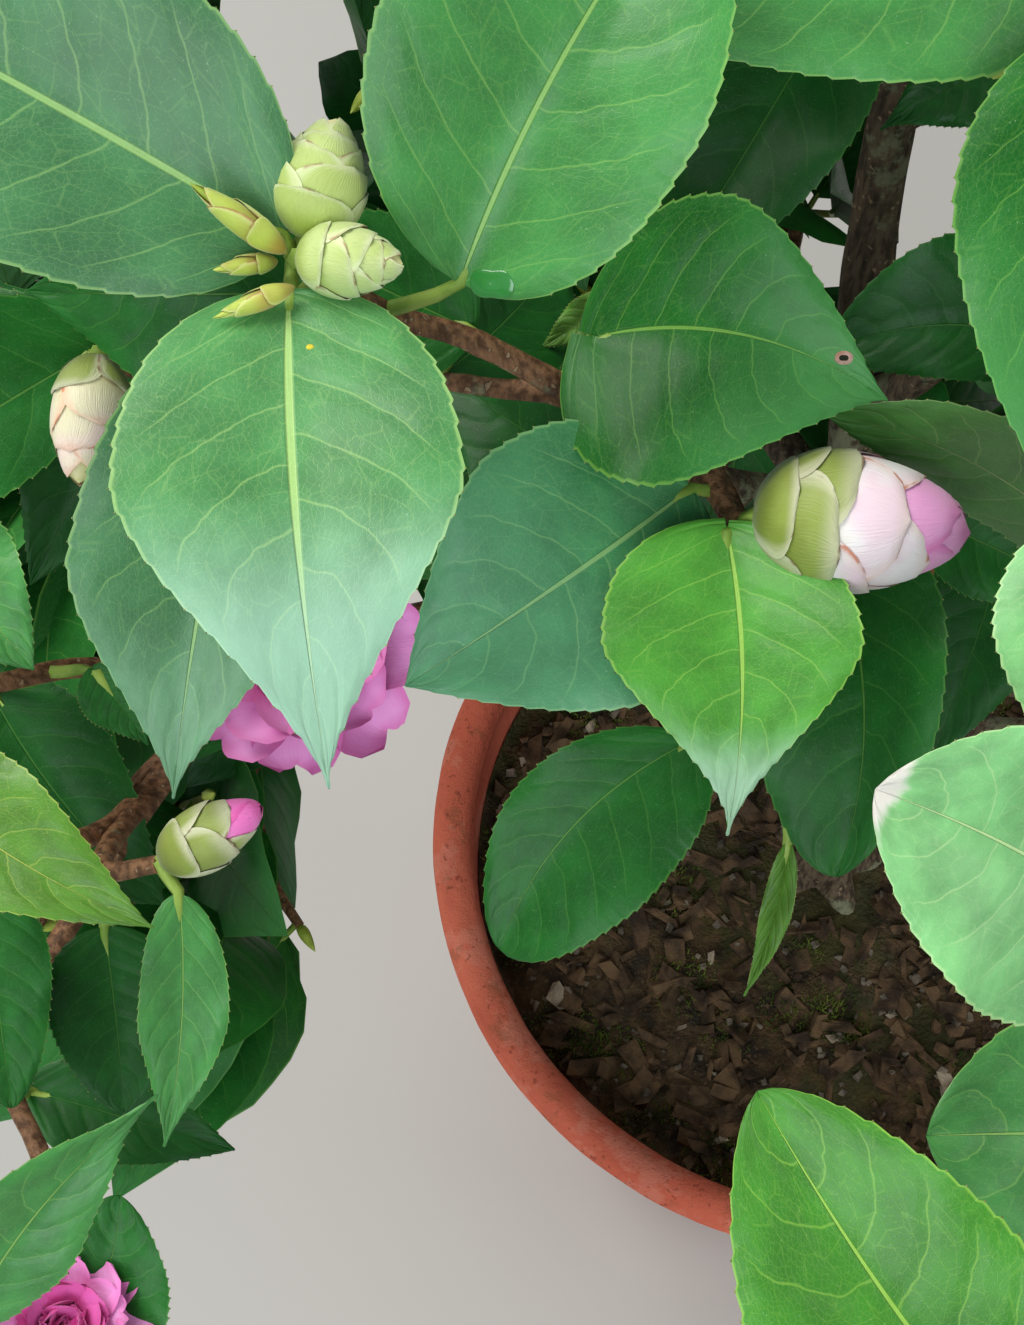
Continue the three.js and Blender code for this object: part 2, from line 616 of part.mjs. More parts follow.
/** Whether a twig stays in its mass's space, step by step, and clear of the limbs. */
function twigFits(geometry, name) {
  const corners = geometryPoints(geometry);
  for (let i = 0; i + 2 * TWIG_SIDES <= corners.length; i += TWIG_SIDES) {
    const step = corners.slice(i, i + 2 * TWIG_SIDES);
    if (step.some((p) => insideSpace(p, name) < SPACE_MARGIN)) return false;
    if (!OPEN_VIEWS.every((view) => keepsOut(step, view))) return false;
    const touches = (limb) => step.some((p) => p.distanceTo(limb.point) < limb.radius + TWIG_LIMB_MARGIN);
    if (i > 0 && LIMB_POINTS.some(touches)) return false;
  }
  return true;
}

const STEM_REACH = 0.75;
const STEM_KNOTS = [0.24, 0.48, 0.71, 0.95];
const TWIG_KNOTS = [0.5, 0.97];
const TWIG_BOW = 0.12;
const TWIG_SAG = 0.06;
const TURN_COST = 25;
const LEAST_TARGET_INSET = 8;

/** The stem of a mass: from just clear of the limb's tip to most of the way to the mass's middle. */
function stemPathOf(name) {
  const { start, way } = stemStartOf(name);
  const end = start.clone().lerp(MASS_CENTRES[name], STEM_REACH);
  const middle = start.clone().addScaledVector(way, start.distanceTo(end) * 0.4);
  return smoothPath([start, middle, end]);
}

/** The twig to a twig end from the nearest knot that has already grown. A knot that a twig would
 *  have to turn back from counts as further away, by up to twice TURN_COST. */
function twigPath(knots, point) {
  const cost = (knot) => knot.point.distanceTo(point)
    + TURN_COST * (1 - knot.along.dot(point.clone().sub(knot.point).normalize()));
  const from = knots.reduce((best, knot) => (cost(knot) < cost(best) ? knot : best));
  const span = from.point.distanceTo(point);
  const start = from.point.clone().addScaledVector(from.along, -2);
  const middle = from.point.clone().lerp(point, 0.5).addScaledVector(from.along, span * TWIG_BOW);
  middle.z -= span * TWIG_SAG;
  return smoothPath([start, middle, point]);
}

/** One mass: a stem, a twig to every twig end in the mass's space, and leaves along each twig. */
function massSolid(name, seed) {
  const random = randomFrom(seed);
  const stemPath = stemPathOf(name);
  const { start: stemStart, way } = stemStartOf(name);
  const solids = [toSolid(limbGeometry(stemPath, 4, 5, (s) => STEM_RADIUS - 1.2 * s, way))];
  const knotAt = (path) => (share) => ({ point: path.getPointAt(share), along: path.getTangentAt(share) });
  const knots = STEM_KNOTS.map(knotAt(stemPath));
  const leafPlaces = [...SPRAY_LEAF_SPOTS];
  const targets = TWIG_TARGETS
    .map((point, order) => ({ point, order }))
    .filter(({ point }) => insideSpace(point, name) > LEAST_TARGET_INSET)
    .sort((a, b) => a.point.distanceTo(stemStart) - b.point.distanceTo(stemStart));
  for (const { point, order } of targets) {
    const line = twigPath(knots, point);
    const twig = limbGeometry(line, 2, TWIG_SIDES, (s) => TWIG_RADIUS * (1.35 - 0.5 * s));
    if (!twigFits(twig, name)) continue;
    solids.push(toSolid(twig));
    solids.push(...leavesAlong(line, name, random, leafPlaces).map(toSolid));
    knots.push(...TWIG_KNOTS.map(knotAt(line)));
    const along = line.getTangentAt(1);
    if (order % BLOOMS.every === BLOOMS.first) {
      const bloom = bloomGeometry(point.clone().addScaledVector(along, BLOOMS.lift), along, BLOOMS.radius);
      if (fits(bloom, name, FLOWER_LIMB_MARGIN)) solids.push(toSolid(bloom));
    } else if (order % BUDS.every === BUDS.first) {
      const foot = point.clone().addScaledVector(along, -BUDS.sink);
      const bud = budGeometry(foot, foot.clone().addScaledVector(along, BUDS.length), BUDS.radius);
      if (fits(bud, name, FLOWER_LIMB_MARGIN)) solids.push(toSolid(bud));
    }
  }
  return wholeBody(joined(solids));
}

// The front sprays, set out leaf by leaf from the station.
// Twigs are lines of (across, down, depth) that start at the bough's tip. A leaf is its name, base
// and tip, its width in mm, the roll of its face about the midrib in degrees, the side bow and the
// droop of the midrib, the fold in degrees, the lop, the widest place, the taper and the lobes.
// A bud is its base, tip and radius. A bloom is its middle, the place it looks to, and its radius.
const SPRAYS = {
  front: {
    twigs: [
      [[565, 388, 303], [464, 337, 292], [400, 318, 284], [332, 282, 273], [294, 256, 268]],
      [[708, 470, 306], [731, 512, 298], [742, 524, 295]],
    ],
    leaves: [
      ['long_left', [285, 238, 264], [-240, -50, 254], 49, 0, -0.01, 0.05, 12, -0.04, 0.55, 1.25, 0.00],
      ['top_middle', [460, 284, 272], [700, -150, 256], 49, 0, 0.04, 0.06, 14, 0.07, 0.50, 0.60, 0.00],
      ['near_left', [289, 297, 262], [329, 789, 236], 47, 0, -0.02, 0.07, 10, -0.02, 0.45, 1.50, 0.02],
      ['under_left', [262, 330, 276], [173, 799, 290], 37, 0, -0.02, 0.05, 14, -0.14, 0.52, 1.50, 0.04],
      ['dark_left', [290, 292, 288], [25, 290, 296], 33, -15, 0.00, 0.04, 14, 0.00, 0.38, 1.22, 0.04],
      ['dark_middle', [468, 328, 302], [262, 232, 306], 29, 0, 0.00, 0.05, 14, 0.12, 0.39, 0.90, 0.04],
      ['upper_right', [597, 337, 298], [888, 401, 286], 49, -8, 0.10, 0.07, 16, -0.14, 0.38, 1.24, 0.08],
      ['lower_middle', [692, 488, 300], [405, 686, 292], 48, 0, 0.01, 0.05, 12, 0.01, 0.45, 1.01, 0.00],
      ['bright', [727, 531, 292], [727, 836, 288], 41, 0, 0.05, 0.07, 12, -0.08, 0.40, 1.80, 0.04],
      ['behind_bright', [815, 520, 312], [837, 877, 306], 39, 15, 0.12, 0.05, 14, -0.18, 0.35, 0.60, 0.10],
      ['low_dark', [687, 743, 344], [500, 950, 352], 33, 0, -0.10, 0.05, 12, 0.20, 0.50, 0.55, 0.02],
      ['olive', [612, 300, 318], [541, 348, 322], 8, 0, 0.01, 0.02, 14, 0.01, 0.38, 1.25, 0.03],
    ],
    buds: [
      [[306, 240, 266], [337, 116, 262], 7.2],
      [[300, 258, 262], [405, 264, 256], 5.6],
      [[752, 515, 292], [972, 531, 288], 12.2],
    ],
  },
  near_left: {
    twigs: [
      [[170, 390, 328], [98, 353, 308]],
      [[20, 450, 330], [-92, 524, 312]],
      [[290, 590, 356], [312, 650, 352]],
    ],
    leaves: [
      ['edge_left', [94, 351, 300], [-215, 545, 296], 32, 0, -0.01, 0.05, 12, -0.19, 0.45, 1.10, 0.04],
      ['edge_back', [104, 352, 316], [-150, 285, 324], 24, 0, 0.11, 0.05, 12, 0.04, 0.38, 1.26, 0.04],
      ['side_left', [-95, 520, 308], [34, 670, 306], 24, 0, 0.00, 0.05, 12, -0.01, 0.39, 0.97, 0.03],
      ['deep_left', [108, 372, 334], [30, 585, 338], 25, 0, 0.04, 0.05, 12, 0.02, 0.38, 1.07, 0.04],
    ],
    buds: [[[98, 356, 304], [78, 486, 302], 6.8]],
    blooms: [[[315, 676, 342], [310, 690, 312], 24]],
  },
  near_low_left: {
    twigs: [
      [[91, 668, 334], [0, 683, 320], [-60, 700, 314]],
      [[150, 790, 352], [60, 840, 322], [-112, 752, 300]],
      [[150, 790, 352], [105, 871, 310], [160, 864, 302]],
      [[110, 860, 346], [8, 1060, 332], [42, 1160, 330], [70, 1290, 328]],
      [[60, 880, 346], [-40, 1100, 318], [-30, 1300, 288]],
    ],
    leaves: [
      ['yellow', [-120, 750, 294], [154, 928, 286], 23, 0, -0.05, 0.06, 12, 0.10, 0.43, 1.15, 0.00],
      ['deep_low_left', [-10, 690, 346], [165, 905, 350], 32, 0, -0.05, 0.05, 12, -0.08, 0.39, 0.95, 0.01],
      ['small_dark', [92, 668, 318], [148, 745, 322], 12, 0, 0.01, 0.04, 12, 0.01, 0.38, 1.25, 0.02],
      ['hang_a', [-12, 893, 310], [12, 1108, 306], 19, 0, -0.01, 0.04, 12, -0.01, 0.39, 0.60, 0.03],
      ['hang_b', [104, 928, 320], [124, 1112, 318], 23, 0, 0.01, 0.04, 12, -0.02, 0.39, 0.65, 0.01],
      ['hang_c', [179, 894, 302], [164, 1147, 300], 15, 0, 0.04, 0.04, 12, 0.03, 0.49, 1.34, 0.00],
      ['blade', [-26, 1312, 282], [158, 1094, 276], 25, 35, 0.10, 0.05, 16, 0.24, 0.43, 1.66, 0.05],
      ['low_corner', [60, 1350, 326], [120, 1195, 322], 26, 0, -0.09, 0.04, 12, -0.05, 0.38, 0.60, 0.04],
      ['deep_low', [30, 1090, 352], [235, 1150, 352], 19, 0, 0.00, 0.04, 12, -0.02, 0.39, 0.98, 0.03],
    ],
    buds: [[[162, 862, 302], [262, 806, 298], 5.8]],
    blooms: [[[64, 1330, 318], [70, 1260, 292], 15]],
  },
  near_right: {
    twigs: [
      [[1125, 300, 320], [1128, 120, 288], [1126, 22, 270], [1116, -116, 282]],
      [[1100, 220, 340], [1012, 62, 330], [930, -24, 320], [852, -22, 324]],
      [[1088, 480, 330], [1092, 556, 306], [1122, 510, 252]],
      [[1020, 480, 350], [934, 518, 332]],
    ],
    leaves: [
      ['top_right', [1115, -119, 280], [626, 30, 268], 44, 0, 0.00, 0.05, 12, 0.00, 0.38, 0.92, 0.05],
      ['blue_right', [1126, 20, 262], [1100, 540, 250], 39, 0, -0.04, 0.05, 12, 0.01, 0.39, 0.70, 0.01],
      ['grey_right', [1095, 560, 302], [828, 413, 294], 30, -48, -0.10, -0.02, 6, -0.30, 0.30, 0.65, 0.15],
      ['dark_right', [1085, 360, 306], [826, 352, 312], 25, 0, -0.12, 0.05, 14, -0.25, 0.50, 0.60, 0.02],
      ['light_right', [1125, 505, 248], [1135, 830, 236], 33, 0, -0.03, 0.05, 12, 0.02, 0.41, 0.80, 0.00],
      ['deep_right', [930, 520, 326], [1090, 600, 330], 22, 0, 0.02, 0.05, 12, 0.10, 0.38, 1.40, 0.03],
      ['deep_right_low', [1005, 545, 344], [925, 770, 350], 24, 0, 0.02, 0.05, 12, -0.02, 0.38, 1.20, 0.04],
      ['deep_top', [850, -20, 324], [655, 300, 334], 33, 10, 0.01, 0.05, 14, -0.01, 0.39, 0.75, 0.02],
      ['deep_back', [1010, 70, 330], [880, 130, 336], 17, 0, -0.06, 0.05, 12, -0.04, 0.37, 1.50, 0.05],
    ],
    buds: [],
  },
  near_low_right: {
    twigs: [
      [[1225, 960, 280], [1120, 922, 247]],
      [[1250, 1100, 300], [1262, 1150, 282]],
      [[1235, 1180, 290], [1150, 1380, 250], [1045, 1476, 230]],
    ],
    leaves: [
      ['pale_tip', [1115, 920, 244], [875, 789, 224], 42, 0, -0.04, 0.08, 14, -0.02, 0.46, 0.62, 0.00],
      ['side_low', [1260, 1150, 278], [926, 1136, 254], 48, 0, -0.02, 0.05, 12, 0.01, 0.50, 0.60, 0.03],
      ['corner', [1040, 1480, 226], [757, 1091, 214], 36, 0, 0.03, 0.08, 14, 0.06, 0.52, 0.62, 0.00],
    ],
    buds: [],
  },
};

/** The way the face of a leaf looks when it is set out from the station: towards the station,
 *  rolled about the midrib. */
function rolledFace(base, tip, roll) {
  const along = tip.clone().sub(base).normalize();
  const toStation = STATION.clone().sub(base.clone().lerp(tip, 0.5)).normalize();
  toStation.addScaledVector(along, -toStation.dot(along)).normalize();
  return toStation.applyAxisAngle(along, THREE.MathUtils.degToRad(roll));
}

/** Point of a set of lines that lies nearest to p. */
function nearestOn(lines, p) {
  let best = null;
  for (const line of lines) {
    for (let i = 0; i + 1 < line.length; i += 1) {
      const spot = new THREE.Line3(line[i], line[i + 1]).closestPointToPoint(p, true, new THREE.Vector3());
      if (!best || spot.distanceTo(p) < best.distanceTo(p)) best = spot;
    }
  }
  return best;
}

const SPRAY_LEAF_SPOTS = [];
for (const { leaves } of Object.values(SPRAYS)) {
  for (const [, base, tip, width, roll] of leaves) {
    const from = at(base);
    const out = at(tip).sub(from);
    const long = out.length();
    SPRAY_LEAF_SPOTS.push(leafSpots(from, out.normalize(), long, rolledFace(from, at(tip), roll), width));
  }
}

const FORK_LENGTH = 9;

/** A stalk from the nearest twig to a base, running on a little into what it carries. */
function stalkSolid(lines, base, onward) {
  const root = nearestOn(lines, base);
  const inside = base.clone().addScaledVector(onward, 5);
  const away = base.clone().sub(root);
  const start = away.length() > 0.5 ? root.clone().addScaledVector(away.normalize(), -0.8) : root;
  return toSolid(twigGeometry([start, base, inside], STALK_RADIUS * 1.2, STALK_RADIUS * 0.8, 3));
}

function spraySolid(name, { twigs, leaves, buds, blooms = [] }) {
  const path = boughPath(BOUGHS[name]);
  const way = path.getTangentAt(1);
  const stemStart = path.getPointAt(1).addScaledVector(way, CLEAR);
  const fork = stemStart.clone().addScaledVector(way, FORK_LENGTH * 0.75);
  const forkEnd = stemStart.clone().addScaledVector(way, FORK_LENGTH);
  const lines = twigs.map((line) => [fork, ...line.map(at)]);
  const solids = [toSolid(twigGeometry([stemStart, forkEnd], STEM_RADIUS, STEM_RADIUS * 0.9, 1, 6))];
  for (const line of lines) {
    solids.push(toSolid(limbGeometry(smoothPath(line), line.length + 1, 4, (s) => 2.5 - s)));
  }
  for (const [, base, tip, width, roll, side, droop, fold, lop, widest, taper, lobes] of leaves) {
    const from = at(base);
    const to = at(tip);
    const face = rolledFace(from, to, roll);
    solids.push(toSolid(leafGeometry({
      base: from, tip: to, width, face, side, droop, fold, lop, widest, taper, lobes, stations: 3,
    })));
    solids.push(stalkSolid(lines, from, to.clone().sub(from).normalize()));
  }
  for (const [base, tip, radius] of buds) {
    const from = at(base);
    const to = at(tip);
    solids.push(toSolid(budGeometry(from, to, radius)));
    solids.push(stalkSolid(lines, from, to.clone().sub(from).normalize()));
  }
  for (const [centre, towards, radius] of blooms) {
    const middle = at(centre);
    const outward = at(towards).sub(middle).normalize();
    solids.push(toSolid(bloomGeometry(middle, outward, radius)));
    solids.push(stalkSolid(lines, middle.clone().addScaledVector(outward, -BLOOM_LIFT / 3), outward));
  }
  return wholeBody(joined(solids));
}

// The whole plant in its pot

const shrub = new THREE.Group();
shrub.name = 'camellia_in_pot';

function addPiece(name, solid, material) {
  const mesh = new THREE.Mesh(fromSolid(solid), material);
  mesh.name = name;
  shrub.add(mesh);
}

addPiece('pot', potSolid(), MATERIALS.terracotta);
addPiece('soil', soilSolid(), MATERIALS.soil);
addPiece('trunk', trunkSolid(), MATERIALS.bark);

const trunkWithGap = trunkSolid(CLEAR);
for (const [name, bough] of Object.entries(BOUGHS)) {
  addPiece(`bough_${name}`, boughSolid(bough, trunkWithGap), MATERIALS.bark);
}

for (const [name, spray] of Object.entries(SPRAYS)) {
  addPiece(`spray_${name}`, spraySolid(name, spray), MATERIALS.foliage);
}

let seed = 11;
for (const name of Object.keys(MASS_CENTRES)) {
  addPiece(`foliage_${name}`, massSolid(name, seed), MATERIALS.foliage);
  seed += 1;
}

export default shrub;
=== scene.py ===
# A camellia shrub in a terracotta pot. Sizes are in millimetres; meshes are made in metres.
import math

import bpy
import numpy as np
from mathutils import Matrix


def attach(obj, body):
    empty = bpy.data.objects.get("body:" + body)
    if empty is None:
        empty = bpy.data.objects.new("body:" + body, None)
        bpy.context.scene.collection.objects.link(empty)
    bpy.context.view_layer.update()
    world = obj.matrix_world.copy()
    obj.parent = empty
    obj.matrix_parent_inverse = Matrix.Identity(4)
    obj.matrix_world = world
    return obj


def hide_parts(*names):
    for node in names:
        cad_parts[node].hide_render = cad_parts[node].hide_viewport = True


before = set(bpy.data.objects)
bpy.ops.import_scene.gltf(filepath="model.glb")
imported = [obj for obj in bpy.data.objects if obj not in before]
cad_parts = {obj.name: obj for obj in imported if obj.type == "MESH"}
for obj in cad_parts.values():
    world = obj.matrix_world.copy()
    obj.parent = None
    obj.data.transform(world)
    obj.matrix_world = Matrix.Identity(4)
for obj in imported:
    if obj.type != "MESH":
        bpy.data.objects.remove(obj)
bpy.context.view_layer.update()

# Pot
# A turned and fired clay pot with a thick rounded lip and three drain holes. Lime has bloomed out of
# the damp clay, and a little green algae grows under the lip and round the foot.

MM = 0.001
POT_HEIGHT = 235
RIM_RADIUS = 130
BASE_RADIUS = 86
WALL = 8
LIP_WIDTH = 13
LIP_DEPTH = 16
DRAIN_RADIUS = 7
DRAIN_CIRCLE = 42
DRAINS = 3
POT_SIDES = 180
POT_STEP = 3.2
DRILL_SIDES = 28
LIP_FOOT = POT_HEIGHT - LIP_DEPTH
WALL_TOP_RADIUS = RIM_RADIUS - 4
INNER_FOOT = WALL + 4
INNER_HEAD = LIP_FOOT - 4
NOISE_STEPS = np.array([73856093, 19349663, 83492791])


def make_piece(name, points, quads, finishes, triangles=(), places=None, uvs=None, crease=45):
    """A mesh at the origin from points in millimetres. quads and triangles hold point numbers, places
    the number of each face's finish, and uvs a pair for each face corner. It rides on the shrub."""
    quads = np.asarray(quads, np.int32).reshape(-1, 4)
    triangles = np.asarray(triangles, np.int32).reshape(-1, 3)
    corners = np.concatenate([quads.ravel(), triangles.ravel()])
    starts = np.concatenate([np.arange(len(quads)) * 4, quads.size + np.arange(len(triangles)) * 3])
    mesh = bpy.data.meshes.new(name)
    mesh.vertices.add(len(points))
    mesh.vertices.foreach_set("co", (np.asarray(points) * MM).astype(np.float32).ravel())
    mesh.loops.add(len(corners))
    mesh.loops.foreach_set("vertex_index", corners)
    mesh.polygons.add(len(starts))
    mesh.polygons.foreach_set("loop_start", starts.astype(np.int32))
    for finish in finishes:
        mesh.materials.append(finish)
    if places is not None:
        mesh.polygons.foreach_set("material_index", np.asarray(places, np.int32))
    if uvs is not None:
        layer = mesh.uv_layers.new(name="OFBake")
        layer.uv.foreach_set("vector", np.asarray(uvs, np.float32).ravel())
    mesh.update(calc_edges=True)
    mesh.validate()
    mesh.shade_smooth()
    mesh.set_sharp_from_angle(angle=math.radians(crease))
    piece = bpy.data.objects.new(name, mesh)
    bpy.context.scene.collection.objects.link(piece)
    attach(piece, "root")
    return piece


def noise_at(points, size, seed):
    """Smooth noise from -1 to 1: a random value at each corner of a lattice of cells of this size,
    blended between the eight corners round each point."""
    cells = np.asarray(points, float) / size
    low = np.floor(cells).astype(np.int64)
    part = cells - low
    part = part * part * (3 - 2 * part)
    total = 0.0
    for corner in np.ndindex(2, 2, 2):
        mixed = np.bitwise_xor.reduce((low + corner) * NOISE_STEPS, axis=-1) ^ seed * 40503
        mixed = (mixed ^ mixed >> 13) * 1274126177 & 0x7FFFFFFF
        value = ((mixed ^ mixed >> 15) & 0xFFFF) / 32767.5 - 1
        total = total + value * np.prod(np.where(corner, part, 1 - part), axis=-1)
    return total


def finely(outline, step):
    """An outline of (radius, height) pairs with points added so that none lie further apart than step."""
    outline = np.asarray(outline, float)
    parts = [outline[:1]]
    for start, end in zip(outline[:-1], outline[1:]):
        count = max(1, math.ceil(np.hypot(*(end - start)) / step))
        parts.append(start + (end - start) * np.arange(1, count + 1)[:, None] / count)
    return np.concatenate(parts)


def ring_faces(rings, sides):
    """Quads between rings of points, and a fan at each end: from the first ring to the point that
    follows all the rings, and from the last ring to the point after that."""
    k = np.arange(sides)
    after = (k + 1) % sides
    row = np.arange(rings - 1)[:, None] * sides
    quads = np.stack([row + k, row + after, row + sides + after, row + sides + k], axis=-1)
    last = (rings - 1) * sides
    first_fan = np.stack([np.full(sides, rings * sides), after, k], axis=-1)
    last_fan = np.stack([np.full(sides, rings * sides + 1), last + k, last + after], axis=-1)
    return quads.reshape(-1, 4), np.concatenate([first_fan, last_fan])


def turned(outline, sides):
    """Points, quads and triangles of an outline of (radius, height) pairs turned about the Z axis.
    The outline runs anticlockwise from a point on the axis to another, and each end is one point."""
    angles = np.arange(sides) * 2 * np.pi / sides
    ring = np.stack([np.cos(angles), np.sin(angles)], axis=-1)
    radii = outline[1:-1, 0]
    heights = np.repeat(outline[1:-1, 1], sides)
    body = np.concatenate([(radii[:, None, None] * ring).reshape(-1, 2), heights[:, None]], axis=1)
    points = np.concatenate([body, [[0, 0, outline[0, 1]], [0, 0, outline[-1, 1]]]])
    return points, *ring_faces(len(radii), sides)


def inner_radius(height):
    """Radius of the pot's inner face: it widens evenly from the foot to the head of the wall."""
    share = (height - INNER_FOOT) / (INNER_HEAD - INNER_FOOT)
    return BASE_RADIUS + (WALL_TOP_RADIUS - BASE_RADIUS) * share - WALL


def arc(centre, radius, start, end, count):
    """Points of an arc of a circle round a centre, from one angle to another, in degrees."""
    angles = np.radians(np.linspace(start, end, count))
    return np.stack([centre[0] + radius * np.cos(angles), centre[1] + radius * np.sin(angles)], axis=-1)


def paint(red, green, blue):
    """A colour given as it looks on a screen, from 0 to 255, as the shader wants it."""
    shares = np.array([red, green, blue]) / 255
    linear = np.where(shares < 0.04045, shares / 12.92, ((shares + 0.055) / 1.055) ** 2.4)
    return (*linear, 1.0)


def add(tree, kind, inputs=None, **settings):
    """Adds a node. inputs gives its sockets by name or number, each a value or a socket to link."""
    node = tree.nodes.new(kind)
    for key, value in settings.items():
        setattr(node, key, value)
    for key, value in (inputs or {}).items():
        if isinstance(value, bpy.types.NodeSocket):
            tree.links.new(value, node.inputs[key])
        else:
            node.inputs[key].default_value = value
    return node


def calc(tree, operation, first, second=0.0, third=0.0):
    return add(tree, "ShaderNodeMath", {0: first, 1: second, 2: third}, operation=operation).outputs[0]


def blend(tree, share, first, second):
    """A colour between first, where share is 0, and second, where it is 1."""
    return add(tree, "ShaderNodeMix", {0: share, 6: first, 7: second}, data_type="RGBA").outputs[2]


def rise(tree, value, low, high, start=0.0, end=1.0):
    """A smooth step from start, where value is low, to end, where it is high."""
    return add(tree, "ShaderNodeMapRange", {0: value, 1: low, 2: high, 3: start, 4: end},
               interpolation_type="SMOOTHSTEP").outputs[0]


def mottle(tree, place, scale, detail=3.0):
    """Soft noise from 0 to 1 over a place in metres, with so many cells to the metre."""
    return add(tree, "ShaderNodeTexNoise", {"Vector": place, "Scale": scale, "Detail": detail,
                                            "Roughness": 0.55}).outputs["Fac"]


def laid_over(tree, colour, *films):
    """A colour with films laid over it in turn. A film is a mask, the share of the colour under it that
    it hides there, and its own colour."""
    for mask, share, film in films:
        colour = blend(tree, calc(tree, "MULTIPLY", mask, share), colour, paint(*film))
    return colour


def new_group(name, inputs, outputs):
    """A node group with named sockets: its tree, the node of its inputs and that of its outputs."""
    tree = bpy.data.node_groups.new(name, "ShaderNodeTree")
    for label, kind in inputs.items():
        tree.interface.new_socket(label, in_out="INPUT", socket_type="NodeSocket" + kind)
    for label, kind in outputs.items():
        tree.interface.new_socket(label, in_out="OUTPUT", socket_type="NodeSocket" + kind)
    return tree, tree.nodes.new("NodeGroupInput"), tree.nodes.new("NodeGroupOutput")


def new_finish(name, settings):
    """A material, its tree and its shader, with these constants on the shader's own sockets."""
    finish = bpy.data.materials.new(name)
    finish.use_nodes = True
    shader = finish.node_tree.nodes["Principled BSDF"]
    for label, value in settings.items():
        shader.inputs[label].default_value = value
    return finish, finish.node_tree, shader


def join_up(tree, source, shader, height, distance, raised=True):
    """Links sockets of the shader by name, and a height through a bump."""
    for label, socket in source.items():
        tree.links.new(socket, shader.inputs[label])
    bump = add(tree, "ShaderNodeBump", {"Height": height, "Distance": distance}, invert=not raised)
    tree.links.new(bump.outputs[0], shader.inputs["Normal"])


# Patches that spread over a surface, as lime, moss and lichen do: coarse noise says where they lie,
# and fine noise breaks up their edges. Cover is the share that they take.
patches, patches_in, patches_out = new_group(
    "patches", {"Place": "Vector", "Scale": "Float", "Cover": "Float"}, {"Mask": "Float"})
patch_place, patch_scale = patches_in.outputs["Place"], patches_in.outputs["Scale"]
coarse = mottle(patches, patch_place, patch_scale, 2.0)
fine = mottle(patches, patch_place, calc(patches, "MULTIPLY", patch_scale, 9.0))
spread = calc(patches, "MULTIPLY_ADD", fine, 0.4, coarse)
edge = calc(patches, "MULTIPLY_ADD", patches_in.outputs["Cover"], -0.62, 0.98)
patches.links.new(rise(patches, spread, edge, calc(patches, "ADD", edge, 0.1)), patches_out.inputs["Mask"])


def patch_mask(tree, place, scale, cover):
    node = add(tree, "ShaderNodeGroup", node_tree=patches)
    tree.links.new(place, node.inputs["Place"])
    node.inputs["Scale"].default_value = scale
    node.inputs["Cover"].default_value = cover
    return node.outputs["Mask"]


def clay_finish():
    finish, tree, shader = new_finish("fired_clay", {"Roughness": 0.9, "Specular IOR Level": 0.25})
    place = tree.nodes.new("ShaderNodeTexCoord").outputs["Object"]
    height = add(tree, "ShaderNodeSeparateXYZ", {0: place}).outputs["Z"]
    tone = rise(tree, mottle(tree, place, 14.0, 4.0), 0.3, 0.7)
    streak = add(tree, "ShaderNodeMapping", {"Vector": place, "Scale": (1.0, 1.0, 9.0)}).outputs[0]
    lip = rise(tree, height, (LIP_FOOT - 30) * MM, POT_HEIGHT * MM)
    damp = calc(tree, "MAXIMUM", lip, rise(tree, height, 46 * MM, 6 * MM))
    colour = laid_over(
        tree, blend(tree, tone, paint(188, 90, 66), paint(210, 108, 82)),
        (rise(tree, mottle(tree, streak, 26.0), 0.42, 0.75), 0.4, (158, 70, 48)),
        (patch_mask(tree, place, 34.0, 0.4), 0.16, (216, 168, 146)),
        (calc(tree, "MULTIPLY", patch_mask(tree, place, 95.0, 0.3), damp), 0.3, (92, 74, 42)),
        (rise(tree, mottle(tree, place, 420.0, 1.0), 0.66, 0.72), 0.55, (120, 52, 38)))
    pits = mottle(tree, place, 260.0, 5.0)
    grain = calc(tree, "MULTIPLY_ADD", mottle(tree, place, 1500.0, 2.0), 0.5, pits)
    join_up(tree, {"Base Color": colour}, shader, grain, 0.0007)
    return finish


lip_middle = (RIM_RADIUS - LIP_WIDTH / 2, POT_HEIGHT - LIP_WIDTH / 2)
pot_outline = finely(np.concatenate([
    [(0, 0), (BASE_RADIUS - 4, 0)],
    arc((BASE_RADIUS - 3.5, 3.5), 3.5, -80, 0, 6),
    [(WALL_TOP_RADIUS - 0.6, LIP_FOOT - 3), (WALL_TOP_RADIUS + 0.6, LIP_FOOT)],
    arc(lip_middle, LIP_WIDTH / 2, -18, 186, 26),
    [(inner_radius(INNER_HEAD), INNER_HEAD), (inner_radius(INNER_FOOT), INNER_FOOT)],
    arc((inner_radius(INNER_FOOT) - 4, INNER_FOOT), 4, 0, -90, 6),
    [(0, WALL)]]), POT_STEP)
pot_points, pot_quads, pot_triangles = turned(pot_outline, POT_SIDES)
across = np.hypot(pot_points[:, 0], pot_points[:, 1])
turn = np.arctan2(pot_points[:, 1], pot_points[:, 0])
on_wall = np.clip((across - 60) / 20, 0, 1) * np.clip(pot_points[:, 2] / 12, 0, 1)
throwing = 0.16 * np.sin(pot_points[:, 2] * 2 * np.pi / 5.2 + 0.7 * np.sin(turn * 2))
unevenness = 0.5 * noise_at(pot_points, 42, 3) + 0.22 * noise_at(pot_points, 9, 4) + throwing
pot_points[:, :2] *= (1 + on_wall * (unevenness - 0.35) / np.maximum(across, 1))[:, None]
pot_points[:, 2] -= 0.5 * (0.5 + 0.5 * noise_at(pot_points, 24, 5)) * (pot_points[:, 2] > POT_HEIGHT - 8)
pot = make_piece("clay_pot", pot_points, pot_quads, [clay_finish()], pot_triangles)
